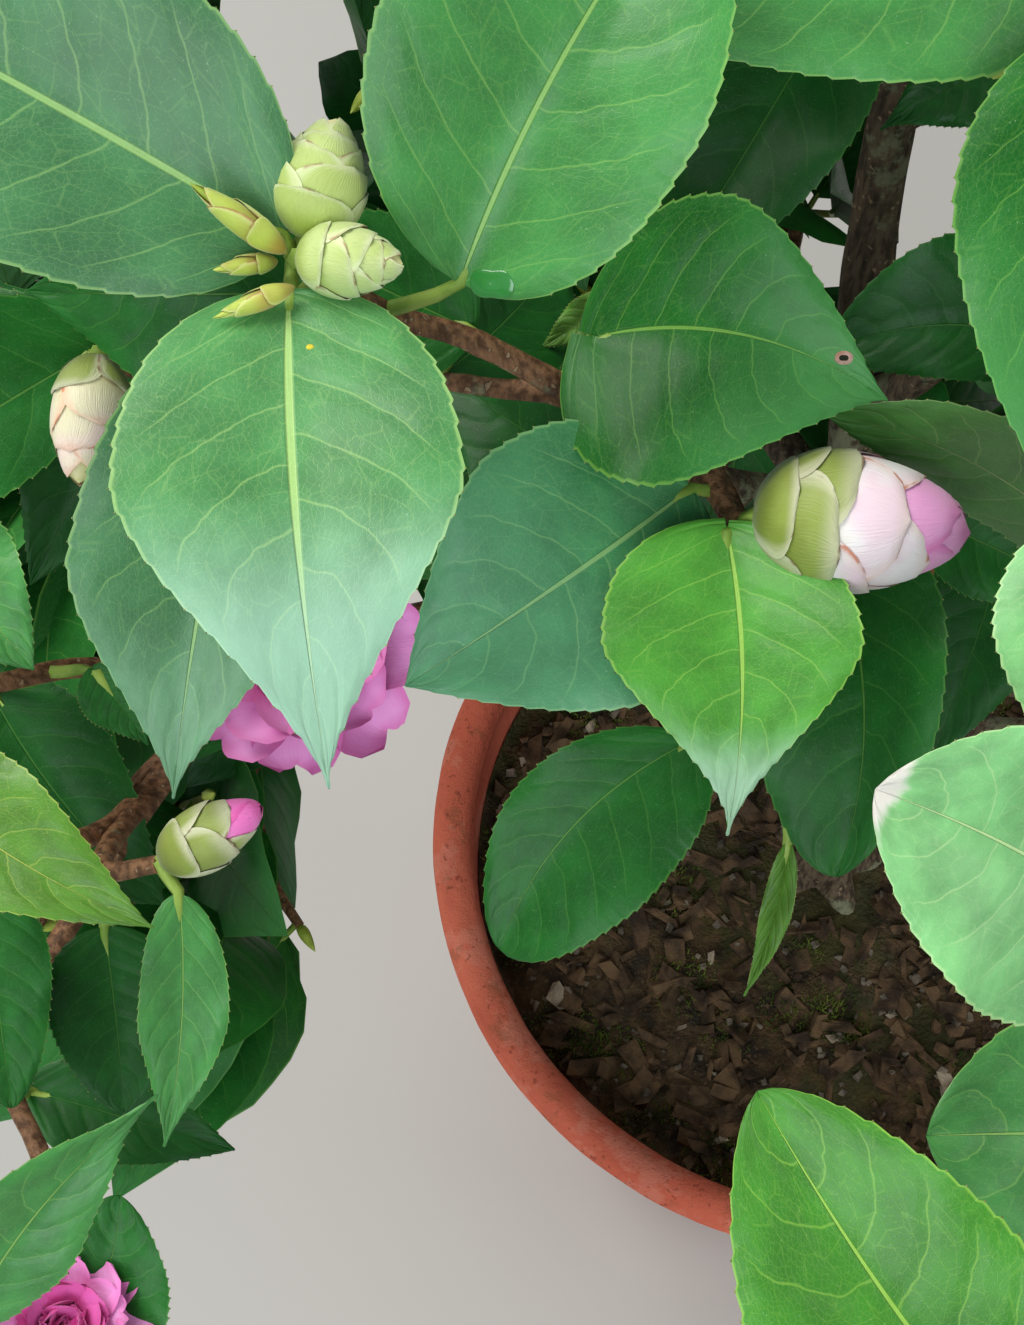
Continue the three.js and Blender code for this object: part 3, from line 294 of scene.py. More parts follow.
for k in range(DRAINS):
    drill_outline = [(0, -9), (DRAIN_RADIUS, -9), (DRAIN_RADIUS, 3 * WALL), (0, 3 * WALL)]
    drill_points, drill_quads, drill_triangles = turned(np.array(drill_outline, float), DRILL_SIDES)
    angle = 2 * np.pi * k / DRAINS
    drill_points[:, :2] += DRAIN_CIRCLE * np.array([np.cos(angle), np.sin(angle)])
    drill = make_piece(f"drill_{k}", drill_points, drill_quads, [], drill_triangles)
    cut = pot.modifiers.new("drain", "BOOLEAN")
    cut.operation = "DIFFERENCE"
    cut.object = drill
    bpy.context.view_layer.update()
    drilled = bpy.data.meshes.new_from_object(pot.evaluated_get(bpy.context.evaluated_depsgraph_get()))
    pot.modifiers.clear()
    pot.data = drilled
    bpy.data.objects.remove(drill)
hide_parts("pot")

# Potting soil
# A dark mix of peat and composted bark that fills the pot to a finger's breadth under the rim. Bark
# chips, grit and cushions of moss lie on it.

SOIL_DROP = 26
CLEAR = 0.3
SOIL_TOP = POT_HEIGHT - SOIL_DROP
SOIL_EDGE = 6
SOIL_REACH = inner_radius(SOIL_TOP) - 7
SOIL_SIDES = 300
SOIL_STEP = 1.5
CHIPS = 900
PALE_CHIPS = 26
PALE_CHIP_PLACE = (19.5, -51.7)
GRIT = 420
CUSHIONS = 60
MOSS_BLADES = 9000


def soil_height(places):
    """Height of the soil's surface: lumps of three sizes, sinking a little towards the clay."""
    flat = np.column_stack([places[:, 0], places[:, 1], np.zeros(len(places))])
    out = np.hypot(places[:, 0], places[:, 1])
    lumps = 2.0 * noise_at(flat, 27, 11) + 1.1 * noise_at(flat, 9, 12) + 0.55 * noise_at(flat, 3.6, 13)
    foot = 2.2 * np.exp(-(out / 30) ** 2)
    return SOIL_TOP - 1.6 + lumps + foot - 2.2 * np.clip((out - 96) / 16, 0, 1) ** 2


def soil_finish():
    finish, tree, shader = new_finish("potting_soil", {"Specular IOR Level": 0.3})
    place = tree.nodes.new("ShaderNodeTexCoord").outputs["Object"]
    tone = rise(tree, mottle(tree, place, 120.0, 6.0), 0.35, 0.65)
    colour = laid_over(
        tree, blend(tree, tone, paint(42, 32, 19), paint(88, 68, 42)),
        (rise(tree, mottle(tree, place, 620.0, 2.0), 0.6, 0.7), 0.7, (112, 86, 58)),
        (patch_mask(tree, place, 22.0, 0.5), 0.6, (58, 62, 22)))
    wet = rise(tree, mottle(tree, place, 30.0), 0.4, 0.6, 0.55, 0.95)
    crumb = mottle(tree, place, 700.0, 6.0)
    join_up(tree, {"Base Color": colour, "Roughness": wet}, shader, crumb, 0.0022)
    return finish


def scraps_finish(name, dark, light, rough, grain_depth=0.0006):
    """Small scraps and shoots: their tone wanders from one to the next, with a fibrous grain."""
    finish, tree, shader = new_finish(name, {"Roughness": rough, "Specular IOR Level": 0.3})
    place = tree.nodes.new("ShaderNodeTexCoord").outputs["Object"]
    tone = rise(tree, mottle(tree, place, 130.0, 4.0), 0.32, 0.68)
    colour = blend(tree, tone, paint(*dark), paint(*light))
    join_up(tree, {"Base Color": colour}, shader, mottle(tree, place, 1400.0, 4.0), grain_depth)
    return finish


gap = CLEAR * 1.2
soil_outline = finely(np.array([
    (0, WALL + CLEAR), (inner_radius(INNER_FOOT) - 4 - SOIL_EDGE, WALL + CLEAR),
    (inner_radius(INNER_FOOT + SOIL_EDGE) - gap, INNER_FOOT + SOIL_EDGE),
    (inner_radius(SOIL_TOP - SOIL_EDGE) - gap, SOIL_TOP - SOIL_EDGE),
    (inner_radius(SOIL_TOP) - 1.6, SOIL_TOP - 3), (0, SOIL_TOP)]), SOIL_STEP)
soil_points, soil_quads, soil_triangles = turned(soil_outline, SOIL_SIDES)
out = np.hypot(soil_points[:, 0], soil_points[:, 1])
on_top = (soil_points[:, 2] > SOIL_TOP - 4) & (out < inner_radius(SOIL_TOP) - 2)
soil_points[on_top, 2] = soil_height(soil_points[on_top])
soil = make_piece("soil_bed", soil_points, soil_quads, [soil_finish()], soil_triangles, crease=70)
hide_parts("soil")

BOX_CORNERS = np.array([(x, y, z) for z in (-0.5, 0.5) for y in (-0.5, 0.5) for x in (-0.5, 0.5)])
BOX_FACES = np.array([(0, 2, 3, 1), (4, 5, 7, 6), (0, 1, 5, 4), (2, 6, 7, 3), (0, 4, 6, 2), (1, 3, 7, 5)])


def rotations(turns, tips, rolls):
    """Rotation matrices for arrays of angles: a roll about X, then a tip about Y, then a turn about Z."""
    ct, st, cp, sp, cr, sr = (f(a) for a in (turns, tips, rolls) for f in (np.cos, np.sin))
    rows = [ct * cp, ct * sp * sr - st * cr, ct * sp * cr + st * sr,
            st * cp, st * sp * sr + ct * cr, st * sp * cr - ct * sr, -sp, cp * sr, cp * cr]
    return np.stack(rows, axis=-1).reshape(-1, 3, 3)


def on_soil(draw, count, reach):
    """Places spread evenly over a disc of this reach, at the soil's height, and off the trunk's foot."""
    radius = np.sqrt(draw.uniform(0.035, 1, count)) * reach
    angle = draw.uniform(0, 2 * np.pi, count)
    places = np.stack([radius * np.cos(angle), radius * np.sin(angle)], axis=-1)
    return np.column_stack([places, soil_height(places)])


def scatter_blocks(name, seed, count, sizes, flatness, finish, first=None):
    """Rough broken blocks on the soil: a box for each, its corners shaken, turned at random and tipped
    the less the flatter they lie. The first may have its own place."""
    draw = np.random.default_rng(seed)
    size = draw.uniform(sizes[0], sizes[1], (count, 3)) * draw.uniform(0.55, 1, count)[:, None]
    corners = BOX_CORNERS + draw.uniform(-0.22, 0.22, (count, 8, 3))
    spin = rotations(draw.uniform(0, 2 * np.pi, count), draw.normal(0, flatness, count),
                     draw.normal(0, flatness, count))
    middle = on_soil(draw, count, SOIL_REACH)
    if first is not None:
        middle[0] = (*first, soil_height(np.array([first]))[0])
    middle[:, 2] += size[:, 2] * 0.25
    points = np.einsum("nij,nkj->nki", spin, corners * size[:, None]) + middle[:, None]
    quads = BOX_FACES[None] + np.arange(count)[:, None, None] * 8
    return make_piece(name, points.reshape(-1, 3), quads, [finish], crease=30)


chips = scatter_blocks("bark_chips", 21, CHIPS, ((4, 2, 0.8), (15, 7, 2.6)), 0.35,
                       scraps_finish("bark_chip", (46, 34, 22), (104, 80, 54), 0.85))
pale_chips = scatter_blocks("pale_chips", 22, PALE_CHIPS, ((4, 2, 0.8), (10, 6, 2.4)), 0.4,
                            scraps_finish("weathered_chip", (120, 104, 84), (186, 170, 146), 0.85),
                            first=PALE_CHIP_PLACE)
grit = scatter_blocks("grit", 23, GRIT, ((1.2, 1.2, 1.0), (3.4, 3.2, 2.8)), 1.2,
                      scraps_finish("grit_stone", (62, 54, 44), (128, 116, 98), 0.7))


def moss_blades(seed):
    """Cushions of moss: round patches full of tiny upright blades, each a three-sided spike whose
    height falls off from the cushion's middle to its edge."""
    draw = np.random.default_rng(seed)
    middles = on_soil(draw, CUSHIONS, SOIL_REACH - 2)
    middles[:CUSHIONS // 3, :2] *= (SOIL_REACH / np.hypot(*middles[:CUSHIONS // 3, :2].T))[:, None]
    reach = draw.uniform(4, 13, CUSHIONS)
    own = draw.choice(CUSHIONS, MOSS_BLADES, p=reach ** 2 / np.sum(reach ** 2))
    share = np.sqrt(draw.uniform(0, 1, MOSS_BLADES))
    angle = draw.uniform(0, 2 * np.pi, MOSS_BLADES)
    ways = np.stack([np.cos(angle), np.sin(angle)], axis=-1)
    places = middles[own, :2] + (reach[own] * share)[:, None] * ways
    inside = np.hypot(places[:, 0], places[:, 1]) < SOIL_REACH + 3
    places, share, count = places[inside], share[inside], np.count_nonzero(inside)
    roots = np.column_stack([places, soil_height(places) - 0.6])
    tall = draw.uniform(1.6, 3.4, count) * (1.25 - share)
    lean = draw.normal(0, 0.35, (count, 2)) * tall[:, None]
    tips = roots + np.column_stack([lean, tall + 0.8])
    spin = draw.uniform(0, 2 * np.pi, count)[:, None] + np.arange(3) * 2 * np.pi / 3
    foot = np.stack([np.cos(spin), np.sin(spin), np.zeros_like(spin)], -1) * 0.45 + roots[:, None]
    points = np.concatenate([foot, tips[:, None]], axis=1).reshape(-1, 3)
    spike = np.array([(0, 1, 3), (1, 2, 3), (2, 0, 3), (0, 2, 1)])
    triangles = spike[None] + np.arange(count)[:, None, None] * 4
    return make_piece("moss", points, [], [scraps_finish("moss", (40, 62, 16), (112, 128, 44), 0.8)],
                      triangles, crease=80)


moss = moss_blades(24)

# Trunk and boughs
# Smooth grey-brown camellia bark on one short trunk, which flares into five root lobes at the soil,
# leans back and left, and forks into fifteen boughs. Young bark wrinkles lengthwise and has pores.

TRUNK_FOOT_RADIUS = 10.5
TRUNK_TIP_RADIUS = 3.6
FLARE_HEIGHT = 34
FLARE_SPREAD = 1.15
ROOT_LOBES = 5
COLLAR = 1.6
TRUNK_STEPS, TRUNK_SIDES = 300, 60
BOUGH_STEPS, BOUGH_SIDES = 90, 26
TRUNK_LINE = np.array([
    (0, 0, SOIL_TOP - 2), (-3, 4, SOIL_TOP + 50), (-11, 20, POT_HEIGHT + 90), (-19, 37, POT_HEIGHT + 160),
    (-26, 50, POT_HEIGHT + 233), (-28, 56, POT_HEIGHT + 290), (-22, 66, POT_HEIGHT + 330)], float)

# The photograph's camera. The depth of a point is how far it lies along the view.
STATION = np.array([-104, -200, POT_HEIGHT + 558.0])
STATION_PITCH = math.radians(65)
PLATE_DISTANCE = 1840
PLATE_CENTRE = np.array([512, 662.5])
FORWARD = np.array([0, math.cos(STATION_PITCH), -math.sin(STATION_PITCH)])
UPWARD = np.array([0, math.sin(STATION_PITCH), math.cos(STATION_PITCH)])
ACROSS = np.array([1.0, 0, 0])


def at(place):
    """The point that shows at a pixel (across, down) of the photograph, at a depth along the view."""
    px, py, depth = place
    return (STATION + FORWARD * depth + ACROSS * (px - PLATE_CENTRE[0]) * depth / PLATE_DISTANCE
            + UPWARD * (PLATE_CENTRE[1] - py) * depth / PLATE_DISTANCE)


def unit(vectors):
    vectors = np.asarray(vectors, float)
    return vectors / np.maximum(np.linalg.norm(vectors, axis=-1, keepdims=True), 1e-9)


class Path:
    """A smooth path through knots: the centripetal Catmull-Rom curve. Between two knots it is a cubic
    that leaves and meets them along the chords around them, weighed by the root of their spacing."""

    def __init__(self, knots):
        knots = np.asarray(knots, float)
        self.knots = np.concatenate([[2 * knots[0] - knots[1]], knots, [2 * knots[-1] - knots[-2]]])
        self.spans = len(knots) - 1
        self.ticks = np.linspace(0, 1, 201)
        steps = np.linalg.norm(np.diff(self.point(self.ticks), axis=0), axis=1)
        self.run = np.concatenate([[0], np.cumsum(steps)])
        self.length = self.run[-1]

    def point(self, t):
        spot = np.clip(np.atleast_1d(t), 0, 1) * self.spans
        i = np.minimum(spot.astype(int), self.spans - 1)
        w = (spot - i)[:, None]
        p0, p1, p2, p3 = (self.knots[i + k] for k in range(4))
        d0, d1, d2 = (np.maximum(np.sum((b - a) ** 2, axis=1, keepdims=True), 1e-9) ** 0.25
                      for a, b in ((p0, p1), (p1, p2), (p2, p3)))
        m1 = ((p1 - p0) / d0 - (p2 - p0) / (d0 + d1) + (p2 - p1) / d1) * d1
        m2 = ((p2 - p1) / d1 - (p3 - p1) / (d1 + d2) + (p3 - p2) / d2) * d1
        return (p1 + m1 * w + (3 * (p2 - p1) - 2 * m1 - m2) * w ** 2
                + (2 * (p1 - p2) + m1 + m2) * w ** 3)

    def at(self, share):
        """Points at shares of the length."""
        points = self.point(np.interp(np.atleast_1d(share) * self.length, self.run, self.ticks))
        return points if np.ndim(share) else points[0]

    def way(self, share):
        """Unit directions at shares of the length."""
        t = np.interp(np.atleast_1d(share) * self.length, self.run, self.ticks)
        ways = unit(self.point(np.minimum(t + 1e-4, 1)) - self.point(np.maximum(t - 1e-4, 0)))
        return ways if np.ndim(share) else ways[0]


def ring_frames(path, shares):
    """A side and a lift direction square to the path at each share. The side is carried from ring to
    ring and set square again, so that a limb does not twist."""
    ways = path.way(shares)
    side = np.array([1.0, 0, 0])
    sides = []
    for way in ways:
        if abs(np.dot(side, way)) > 0.95:
            side = np.array([0, 1.0, 0])
        side = side - way * np.dot(side, way)
        side = side / np.linalg.norm(side)
        sides.append(side)
    sides = np.array(sides)
    return sides, np.cross(ways, sides)


class Bundle:
    """Points and faces of many like pieces, gathered into one mesh."""

    def __init__(self):
        self.points, self.quads, self.triangles, self.count = [], [], [], 0

    def take(self, points, quads, triangles):
        self.points.append(points)
        self.quads.append(quads + self.count)
        self.triangles.append(triangles + self.count)
        self.count += len(points)

    def make(self, name, finish):
        return make_piece(name, np.concatenate(self.points), np.concatenate(self.quads), [finish],
                          np.concatenate(self.triangles), crease=60)


def between(pair, share):
    """The value at a share of the way from the first of a pair to the second."""
    return pair[0] + (pair[1] - pair[0]) * share


def rings_round(path, shares, angles, radius):
    """Rings of points square to a path. radius has a row for each ring, of one number or of one for
    each angle."""
    side, lift = ring_frames(path, shares)
    turn = angles[None, :, None]
    out = np.cos(turn) * side[:, None] + np.sin(turn) * lift[:, None]
    return path.at(shares)[:, None] + radius[..., None] * out


def limb(bundle, path, steps, sides, radius_at):
    """Adds a limb: rings square to a path, closed by a point at each end. radius_at gives the radius
    for shares of the length and angles round it, both as grids."""
    shares = np.linspace(0, 1, steps + 1)
    angles = np.arange(sides) * 2 * np.pi / sides
    rings = rings_round(path, shares, angles, radius_at(shares[:, None], angles[None]))
    points = np.concatenate([rings.reshape(-1, 3), [path.at(0.0), path.at(1.0)]])
    bundle.take(points, *ring_faces(steps + 1, sides))


def bark_finish(name, dark, light, lichen, rough=0.75):
    """Bark: lengthwise wrinkles, pale pores and a film of lichen that lies in patches."""
    finish, tree, shader = new_finish(name, {"Roughness": rough, "Specular IOR Level": 0.3})
    place = tree.nodes.new("ShaderNodeTexCoord").outputs["Object"]
    stretched = add(tree, "ShaderNodeMapping", {"Vector": place, "Scale": (1.0, 1.0, 0.22)}).outputs[0]
    wrinkle = mottle(tree, stretched, 620.0, 5.0)
    pores = rise(tree, mottle(tree, place, 520.0, 1.0), 0.66, 0.72)
    colour = laid_over(
        tree, blend(tree, rise(tree, wrinkle, 0.35, 0.65), paint(*dark), paint(*light)),
        (pores, 0.6, (176, 150, 118)),
        (patch_mask(tree, place, 60.0, lichen), 0.55, (138, 146, 112)))
    relief = calc(tree, "MULTIPLY_ADD", pores, 0.5, wrinkle)
    join_up(tree, {"Base Color": colour}, shader, relief, 0.0008)
    return finish


def rim_point(x, y, z):
    """A point given by its height over the pot's rim."""
    return np.array([x, y, POT_HEIGHT + z], float)


# Each bough leaves the trunk at a share of its length, tapers from one radius to another, and runs by a
# bend to its end.
BOUGHS = {
    "front": (0.66, (4.6, 3.4), rim_point(-52, 8, 262), at((716, 452, 316))),
    "near_left": (0.50, (4.4, 3.0), rim_point(-88, 4, 226), rim_point(-152, -20, 262)),
    "near_low_left": (0.38, (4.4, 3.0), rim_point(-98, -16, 184), rim_point(-156, -50, 222)),
    "near_right": (0.60, (4.2, 3.0), rim_point(-8, 16, 250), rim_point(8, -12, 264)),
    "near_low_right": (0.26, (4.6, 3.0), rim_point(50, -40, 168), rim_point(18, -118, 258)),
    "left": (0.32, (5.0, 3.2), rim_point(-84, 26, 158), rim_point(-158, 20, 196)),
    "low_left": (0.18, (4.6, 3.2), rim_point(-66, 22, 86), rim_point(-128, 18, 108)),
    "back_left": (0.46, (4.8, 3.2), rim_point(-70, 84, 200), rim_point(-118, 112, 232)),
    "low_back": (0.24, (4.6, 3.2), rim_point(-22, 76, 108), rim_point(-26, 124, 132)),
    "back": (0.74, (4.2, 3.2), rim_point(-18, 98, 272), rim_point(-6, 134, 300)),
    "right": (0.42, (5.2, 3.2), rim_point(48, 26, 186), rim_point(96, 14, 222)),
    "low_right": (0.15, (4.6, 3.2), rim_point(48, -12, 74), rim_point(96, -34, 102)),
    "back_right": (0.55, (4.4, 3.2), rim_point(30, 92, 236), rim_point(74, 118, 262)),
    "front_right": (0.34, (5.0, 3.2), rim_point(64, -36, 180), rim_point(86, -92, 220)),
    "upper_right": (0.84, (3.8, 3.0), rim_point(12, 48, 316), rim_point(36, 38, 336)),
}
trunk_path = Path(TRUNK_LINE)


def trunk_radius(share, angle):
    """An even taper, plus a root flare whose lobes die out up the foot."""
    taper = TRUNK_FOOT_RADIUS + (TRUNK_TIP_RADIUS - TRUNK_FOOT_RADIUS) * share ** 0.8
    flare = np.exp(-share * trunk_path.length / (FLARE_HEIGHT / 2.2))
    return taper * (1 + flare * FLARE_SPREAD * (0.55 + 0.45 * np.cos(ROOT_LOBES * angle)))


def bark_relief(share, angle, length, radius, seed):
    """Shallow relief of bark over a limb: long wrinkles, and swellings where old leaves were shed."""
    spots = np.broadcast_arrays(radius * np.cos(angle), radius * np.sin(angle), share * length)
    grid = np.stack(spots, axis=-1)
    wrinkles = noise_at(grid * np.array([1, 1, 0.16]), 2.1, seed) * 0.045 * radius
    swellings = noise_at(grid, 26, seed + 1) * 0.07 * radius
    return wrinkles + swellings


limbs = Bundle()
limb(limbs, trunk_path, TRUNK_STEPS, TRUNK_SIDES,
     lambda s, a: trunk_radius(s, a) + bark_relief(s, a, trunk_path.length, 9.0, 31))
bough_paths = {}
for order, (name, (leaves, radii, bend, end)) in enumerate(BOUGHS.items()):
    start = trunk_path.at(leaves)
    knee = start + (bend - start) * 0.45 + np.array([0, 0, -3])
    path = Path([start, knee, bend, end])
    bough_paths[name] = path

    def bough_radius(share, angle):
        smooth = between(radii, share) + COLLAR * np.exp(-share * 12)
        return smooth + bark_relief(share, angle, path.length, radii[0], 40 + order)

    limb(limbs, path, BOUGH_STEPS, BOUGH_SIDES, bough_radius)
# The bark's colours are darker than its own grey-brown: partly painted shade for a trunk deep in the crown.
wood = limbs.make("trunk_and_boughs", bark_finish("grey_bark", (56, 46, 34), (106, 90, 70), 0.4))
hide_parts("trunk", *("bough_" + name for name in BOUGHS))

# How the foliage grows
# Each bough ends in a mass: a stem, twigs to the ends that lie in the mass's space, and leaves along
# them, clear of the other masses, the limbs and the gaps that the photograph shows.

CROWN_CENTRE = rim_point(-30, 25, 218)
CROWN_RADII = np.array([266, 262, 188])
CROWN_TILT = math.radians(20)
TWIG_ENDS = 152
TWIG_END_DEPTHS = (84, 66, 92, 132)
LEADING_LEAVES = {"per_twig": 4, "spacing": 13, "tries": 22, "apart": 9, "lengths": (72, 94), "crown": 1}
LEAST_LEAF_SHARE = 0.2
LEAF_RATIO = 0.56
RATIO_SPREAD = 0.08
LEAF_SINK = 3
LEAF_SAG = 0.12
END_LEAN = 12
SIDE_LEAN = 38
LEAN_SPREAD = 40
TWIG_RADIUS = 1.5
SPACE_MARGIN = 1.2
LIMB_MARGIN = 9
TWIG_LIMB_MARGIN = 4
FLOWER_LIMB_MARGIN = 2
POT_MARGIN = 12
GOLDEN_ANGLE = math.pi * (3 - math.sqrt(5))
STEM_REACH = 0.75
STEM_KNOTS = (0.24, 0.48, 0.71, 0.95)
TWIG_KNOTS = (0.5, 0.97)
TWIG_BOW = 0.12
TWIG_SAG = 0.06
TURN_COST = 25
LEAST_TARGET_INSET = 8
BUDS = {"every": 13, "first": 1, "length": 30, "radius": 10, "sink": 4}
BLOOMS = {"every": 23, "first": 2, "radius": 31, "lift": 10}
BLOOM_LIFT = 26
RULE_DROOP = 0.08
RULE_FOLD = math.radians(14)
RULE_WIDEST = 0.42
RULE_TAPER = 1.2
RULE_EDGE_PLACES = (0.24, 0.66)
RULE_MIDRIB_PLACE = 0.45
RULE_HALF_THICK = 0.65
TOP_MASS = "top"
MASS_CENTRES = {
    "left": rim_point(-215, -20, 220), "low_left": rim_point(-190, -50, 118),
    "back_left": rim_point(-155, 150, 250), "low_back": rim_point(-40, 185, 150),
    "back": rim_point(-10, 190, 320), "right": rim_point(150, 20, 230),
    "low_right": rim_point(120, -70, 105), "back_right": rim_point(120, 150, 280),
    "upper_right": rim_point(90, 0, 350), "top": rim_point(-60, 100, 400),
    "front_right": rim_point(90, -150, 240),
}

# Views kept open from the station, as left, top, right, bottom, nearest and furthest depth. The first
# is the front sprays' own, and the others are gaps that show through the crown.
OPEN_VIEWS = ((-200, -70, 1190, 1500, 0, 360), (232, -10, 300, 112, 0, 900), (900, 130, 952, 240, 0, 900),
              (350, 690, 1030, 1335, 0, 900))
limb_points = np.concatenate([trunk_path.at(np.linspace(0, 1, 61))]
                             + [path.at(np.linspace(0, 1, 31)) for path in bough_paths.values()])
limb_radii = np.concatenate([trunk_radius(np.linspace(0, 1, 61), 0)]
                            + [np.full(31, BOUGHS[name][1][0]) for name in BOUGHS])


def random_from(seed):
    """Seeded random numbers from 0 to 1, by mixing a counter's bits."""
    state = seed
    mask = 0xFFFFFFFF
    while True:
        state = (state + 0x6D2B79F5) & mask
        mixed = (state ^ state >> 15) * (state | 1) & mask
        mixed ^= (mixed + ((mixed ^ mixed >> 7) * (mixed | 61) & mask)) & mask
        yield (mixed ^ mixed >> 14) / 4294967296


def crown_share(points):
    """How far out points lie in the crown, a tilted ellipsoid: 0 at its middle, 1 on its skin."""
    p = points - CROWN_CENTRE
    back = p[..., 1] * math.cos(CROWN_TILT) + p[..., 2] * math.sin(CROWN_TILT)
    top = p[..., 2] * math.cos(CROWN_TILT) - p[..., 1] * math.sin(CROWN_TILT)
    return np.sqrt((p[..., 0] / CROWN_RADII[0]) ** 2 + (back / CROWN_RADII[1]) ** 2
                   + (top / CROWN_RADII[2]) ** 2)


def crown_point(direction, share):
    x, back, top = direction * CROWN_RADII
    turned_back = np.array([x, back * math.cos(CROWN_TILT) - top * math.sin(CROWN_TILT),
                            back * math.sin(CROWN_TILT) + top * math.cos(CROWN_TILT)])
    return turned_back * share + CROWN_CENTRE


def keeps_out(points, view):
    """A piece keeps out of a view when all of its points lie beyond one of the view's sides."""
    left, top, right, bottom, near, far = view
    way = points - STATION
    along, down, depth = way @ ACROSS * PLATE_DISTANCE, -(way @ UPWARD) * PLATE_DISTANCE, way @ FORWARD
    beyond = (along < (left - PLATE_CENTRE[0]) * depth, along > (right - PLATE_CENTRE[0]) * depth,
              down < (top - PLATE_CENTRE[1]) * depth, down > (bottom - PLATE_CENTRE[1]) * depth,
              depth < near, depth > far)
    return any(np.all(side) for side in beyond)


def inside_space(points, own):
    """Least way from points to the walls between a mass's space and its neighbours' spaces."""
    points = np.atleast_2d(points)
    centre = MASS_CENTRES[own]
    others = np.array([other for name, other in MASS_CENTRES.items() if name != own])
    to_others = np.sum((points[:, None] - others) ** 2, axis=-1)
    to_own = np.sum((points - centre) ** 2, axis=-1)[:, None]
    return np.min((to_others - to_own) / (2 * np.linalg.norm(others - centre, axis=-1)), axis=1)


def near_limb(points, margin):
    gaps = np.linalg.norm(points[:, None] - limb_points, axis=-1)
    return bool(np.any(gaps < limb_radii + margin))


def fits(corners, mass, limb_margin):
    """Whether a leaf, bud or bloom lies in its mass's space, in the crown, clear of the pot and the
    limbs, and out of the open views. Points between the corners are tried against the limbs too."""
    if np.any(inside_space(corners, mass) < SPACE_MARGIN) or np.any(crown_share(corners) > 1):
        return False
    low = corners[:, 2] < POT_HEIGHT + POT_MARGIN
    if np.any(low & (np.hypot(corners[:, 0], corners[:, 1]) < RIM_RADIUS + POT_MARGIN)):
        return False
    if not all(keeps_out(corners, view) for view in OPEN_VIEWS):
        return False
    first, second = np.triu_indices(len(corners), 1)
    between = [corners[first] + (corners[second] - corners[first]) * share for share in (1 / 3, 2 / 3)]
    return not near_limb(np.concatenate([corners, *between]), limb_margin)


def leaf_half(s, widest, taper):
    """Half a leaf's width as a share of its greatest: round at the base, drawn out to a point."""
    near = np.sqrt(np.clip(1 - (np.clip(widest - s, 0, None) / widest) ** 2.3, 0, 1))
    far = np.clip(1 - (np.clip(s - widest, 0, None) / (1 - widest)) ** 1.5, 0, 1) ** taper
    return np.where(s < widest, near, far)


def rule_leaf_corners(base, out, long, width, normal):
    """The corners of a plain leaf: its base and tip, four points of its edge, and its midrib's faces."""
    def midrib(s):
        return base + out * long * s + normal * RULE_DROOP * long * 4 * s * (1 - s)

    across = np.cross(normal, out)
    spots = [base, base + out * long]
    for s in RULE_EDGE_PLACES:
        half = width / 2 * float(leaf_half(np.array(s), RULE_WIDEST, RULE_TAPER))
        reach = across * half * math.cos(RULE_FOLD)
        lift = normal * half * math.sin(RULE_FOLD)
        spots += [midrib(s) + reach + lift, midrib(s) - reach + lift]
    middle = midrib(RULE_MIDRIB_PLACE)
    spots += [middle + normal * RULE_HALF_THICK, middle - normal * RULE_HALF_THICK]
    return np.array(spots)


LEAF_SPOTS = np.array([(0.3, -0.3), (0.3, 0.3), (0.52, 0), (0.55, -0.38), (0.55, 0.38), (0.78, -0.2),
                       (0.78, 0.2), (1, 0)])


def leaf_spots(base, out, long, face, width):
    """Eight spots spread over a leaf, to see how near another comes."""
    across = unit(np.cross(face, out))
    return base + LEAF_SPOTS[:, :1] * long * out + LEAF_SPOTS[:, 1:] * width * across


def comes_near(spots, others, apart):
    if not others:
        return False
    near = np.linalg.norm(np.array(others)[:, None] - spots[None, :, None], axis=-1)
    return bool(np.any(near < apart))


def square_to(face, out):
    """The unit vector nearest to face that is square to out."""
    return unit(face - out * np.dot(face, out))


def leaning(along, angle, lean):
    """The direction that leans away from another by a lean, turned about it by an angle."""
    side = np.array([1.0, 0, 0]) if abs(along[2]) > 0.9 else np.array([0, 0, 1.0])
    first = unit(np.cross(side, along))
    second = np.cross(along, first)
    return along * math.cos(lean) + (first * math.cos(angle) + second * math.sin(angle)) * math.sin(lean)


def grow_leaf(base, along, angle, lean, long, width):
    """A leaf's direction and face: it leans out from its twig, turned by the angle, and looks up."""
    out = leaning(along, angle, lean)
    out[2] -= LEAF_SAG
    out = unit(out)
    face = np.array([0, 0, 1.0]) + along * 0.9
    return {"base": base, "out": out, "long": long, "width": width, "face": face,
            "normal": square_to(face, out), "spots": leaf_spots(base, out, long, face, width)}


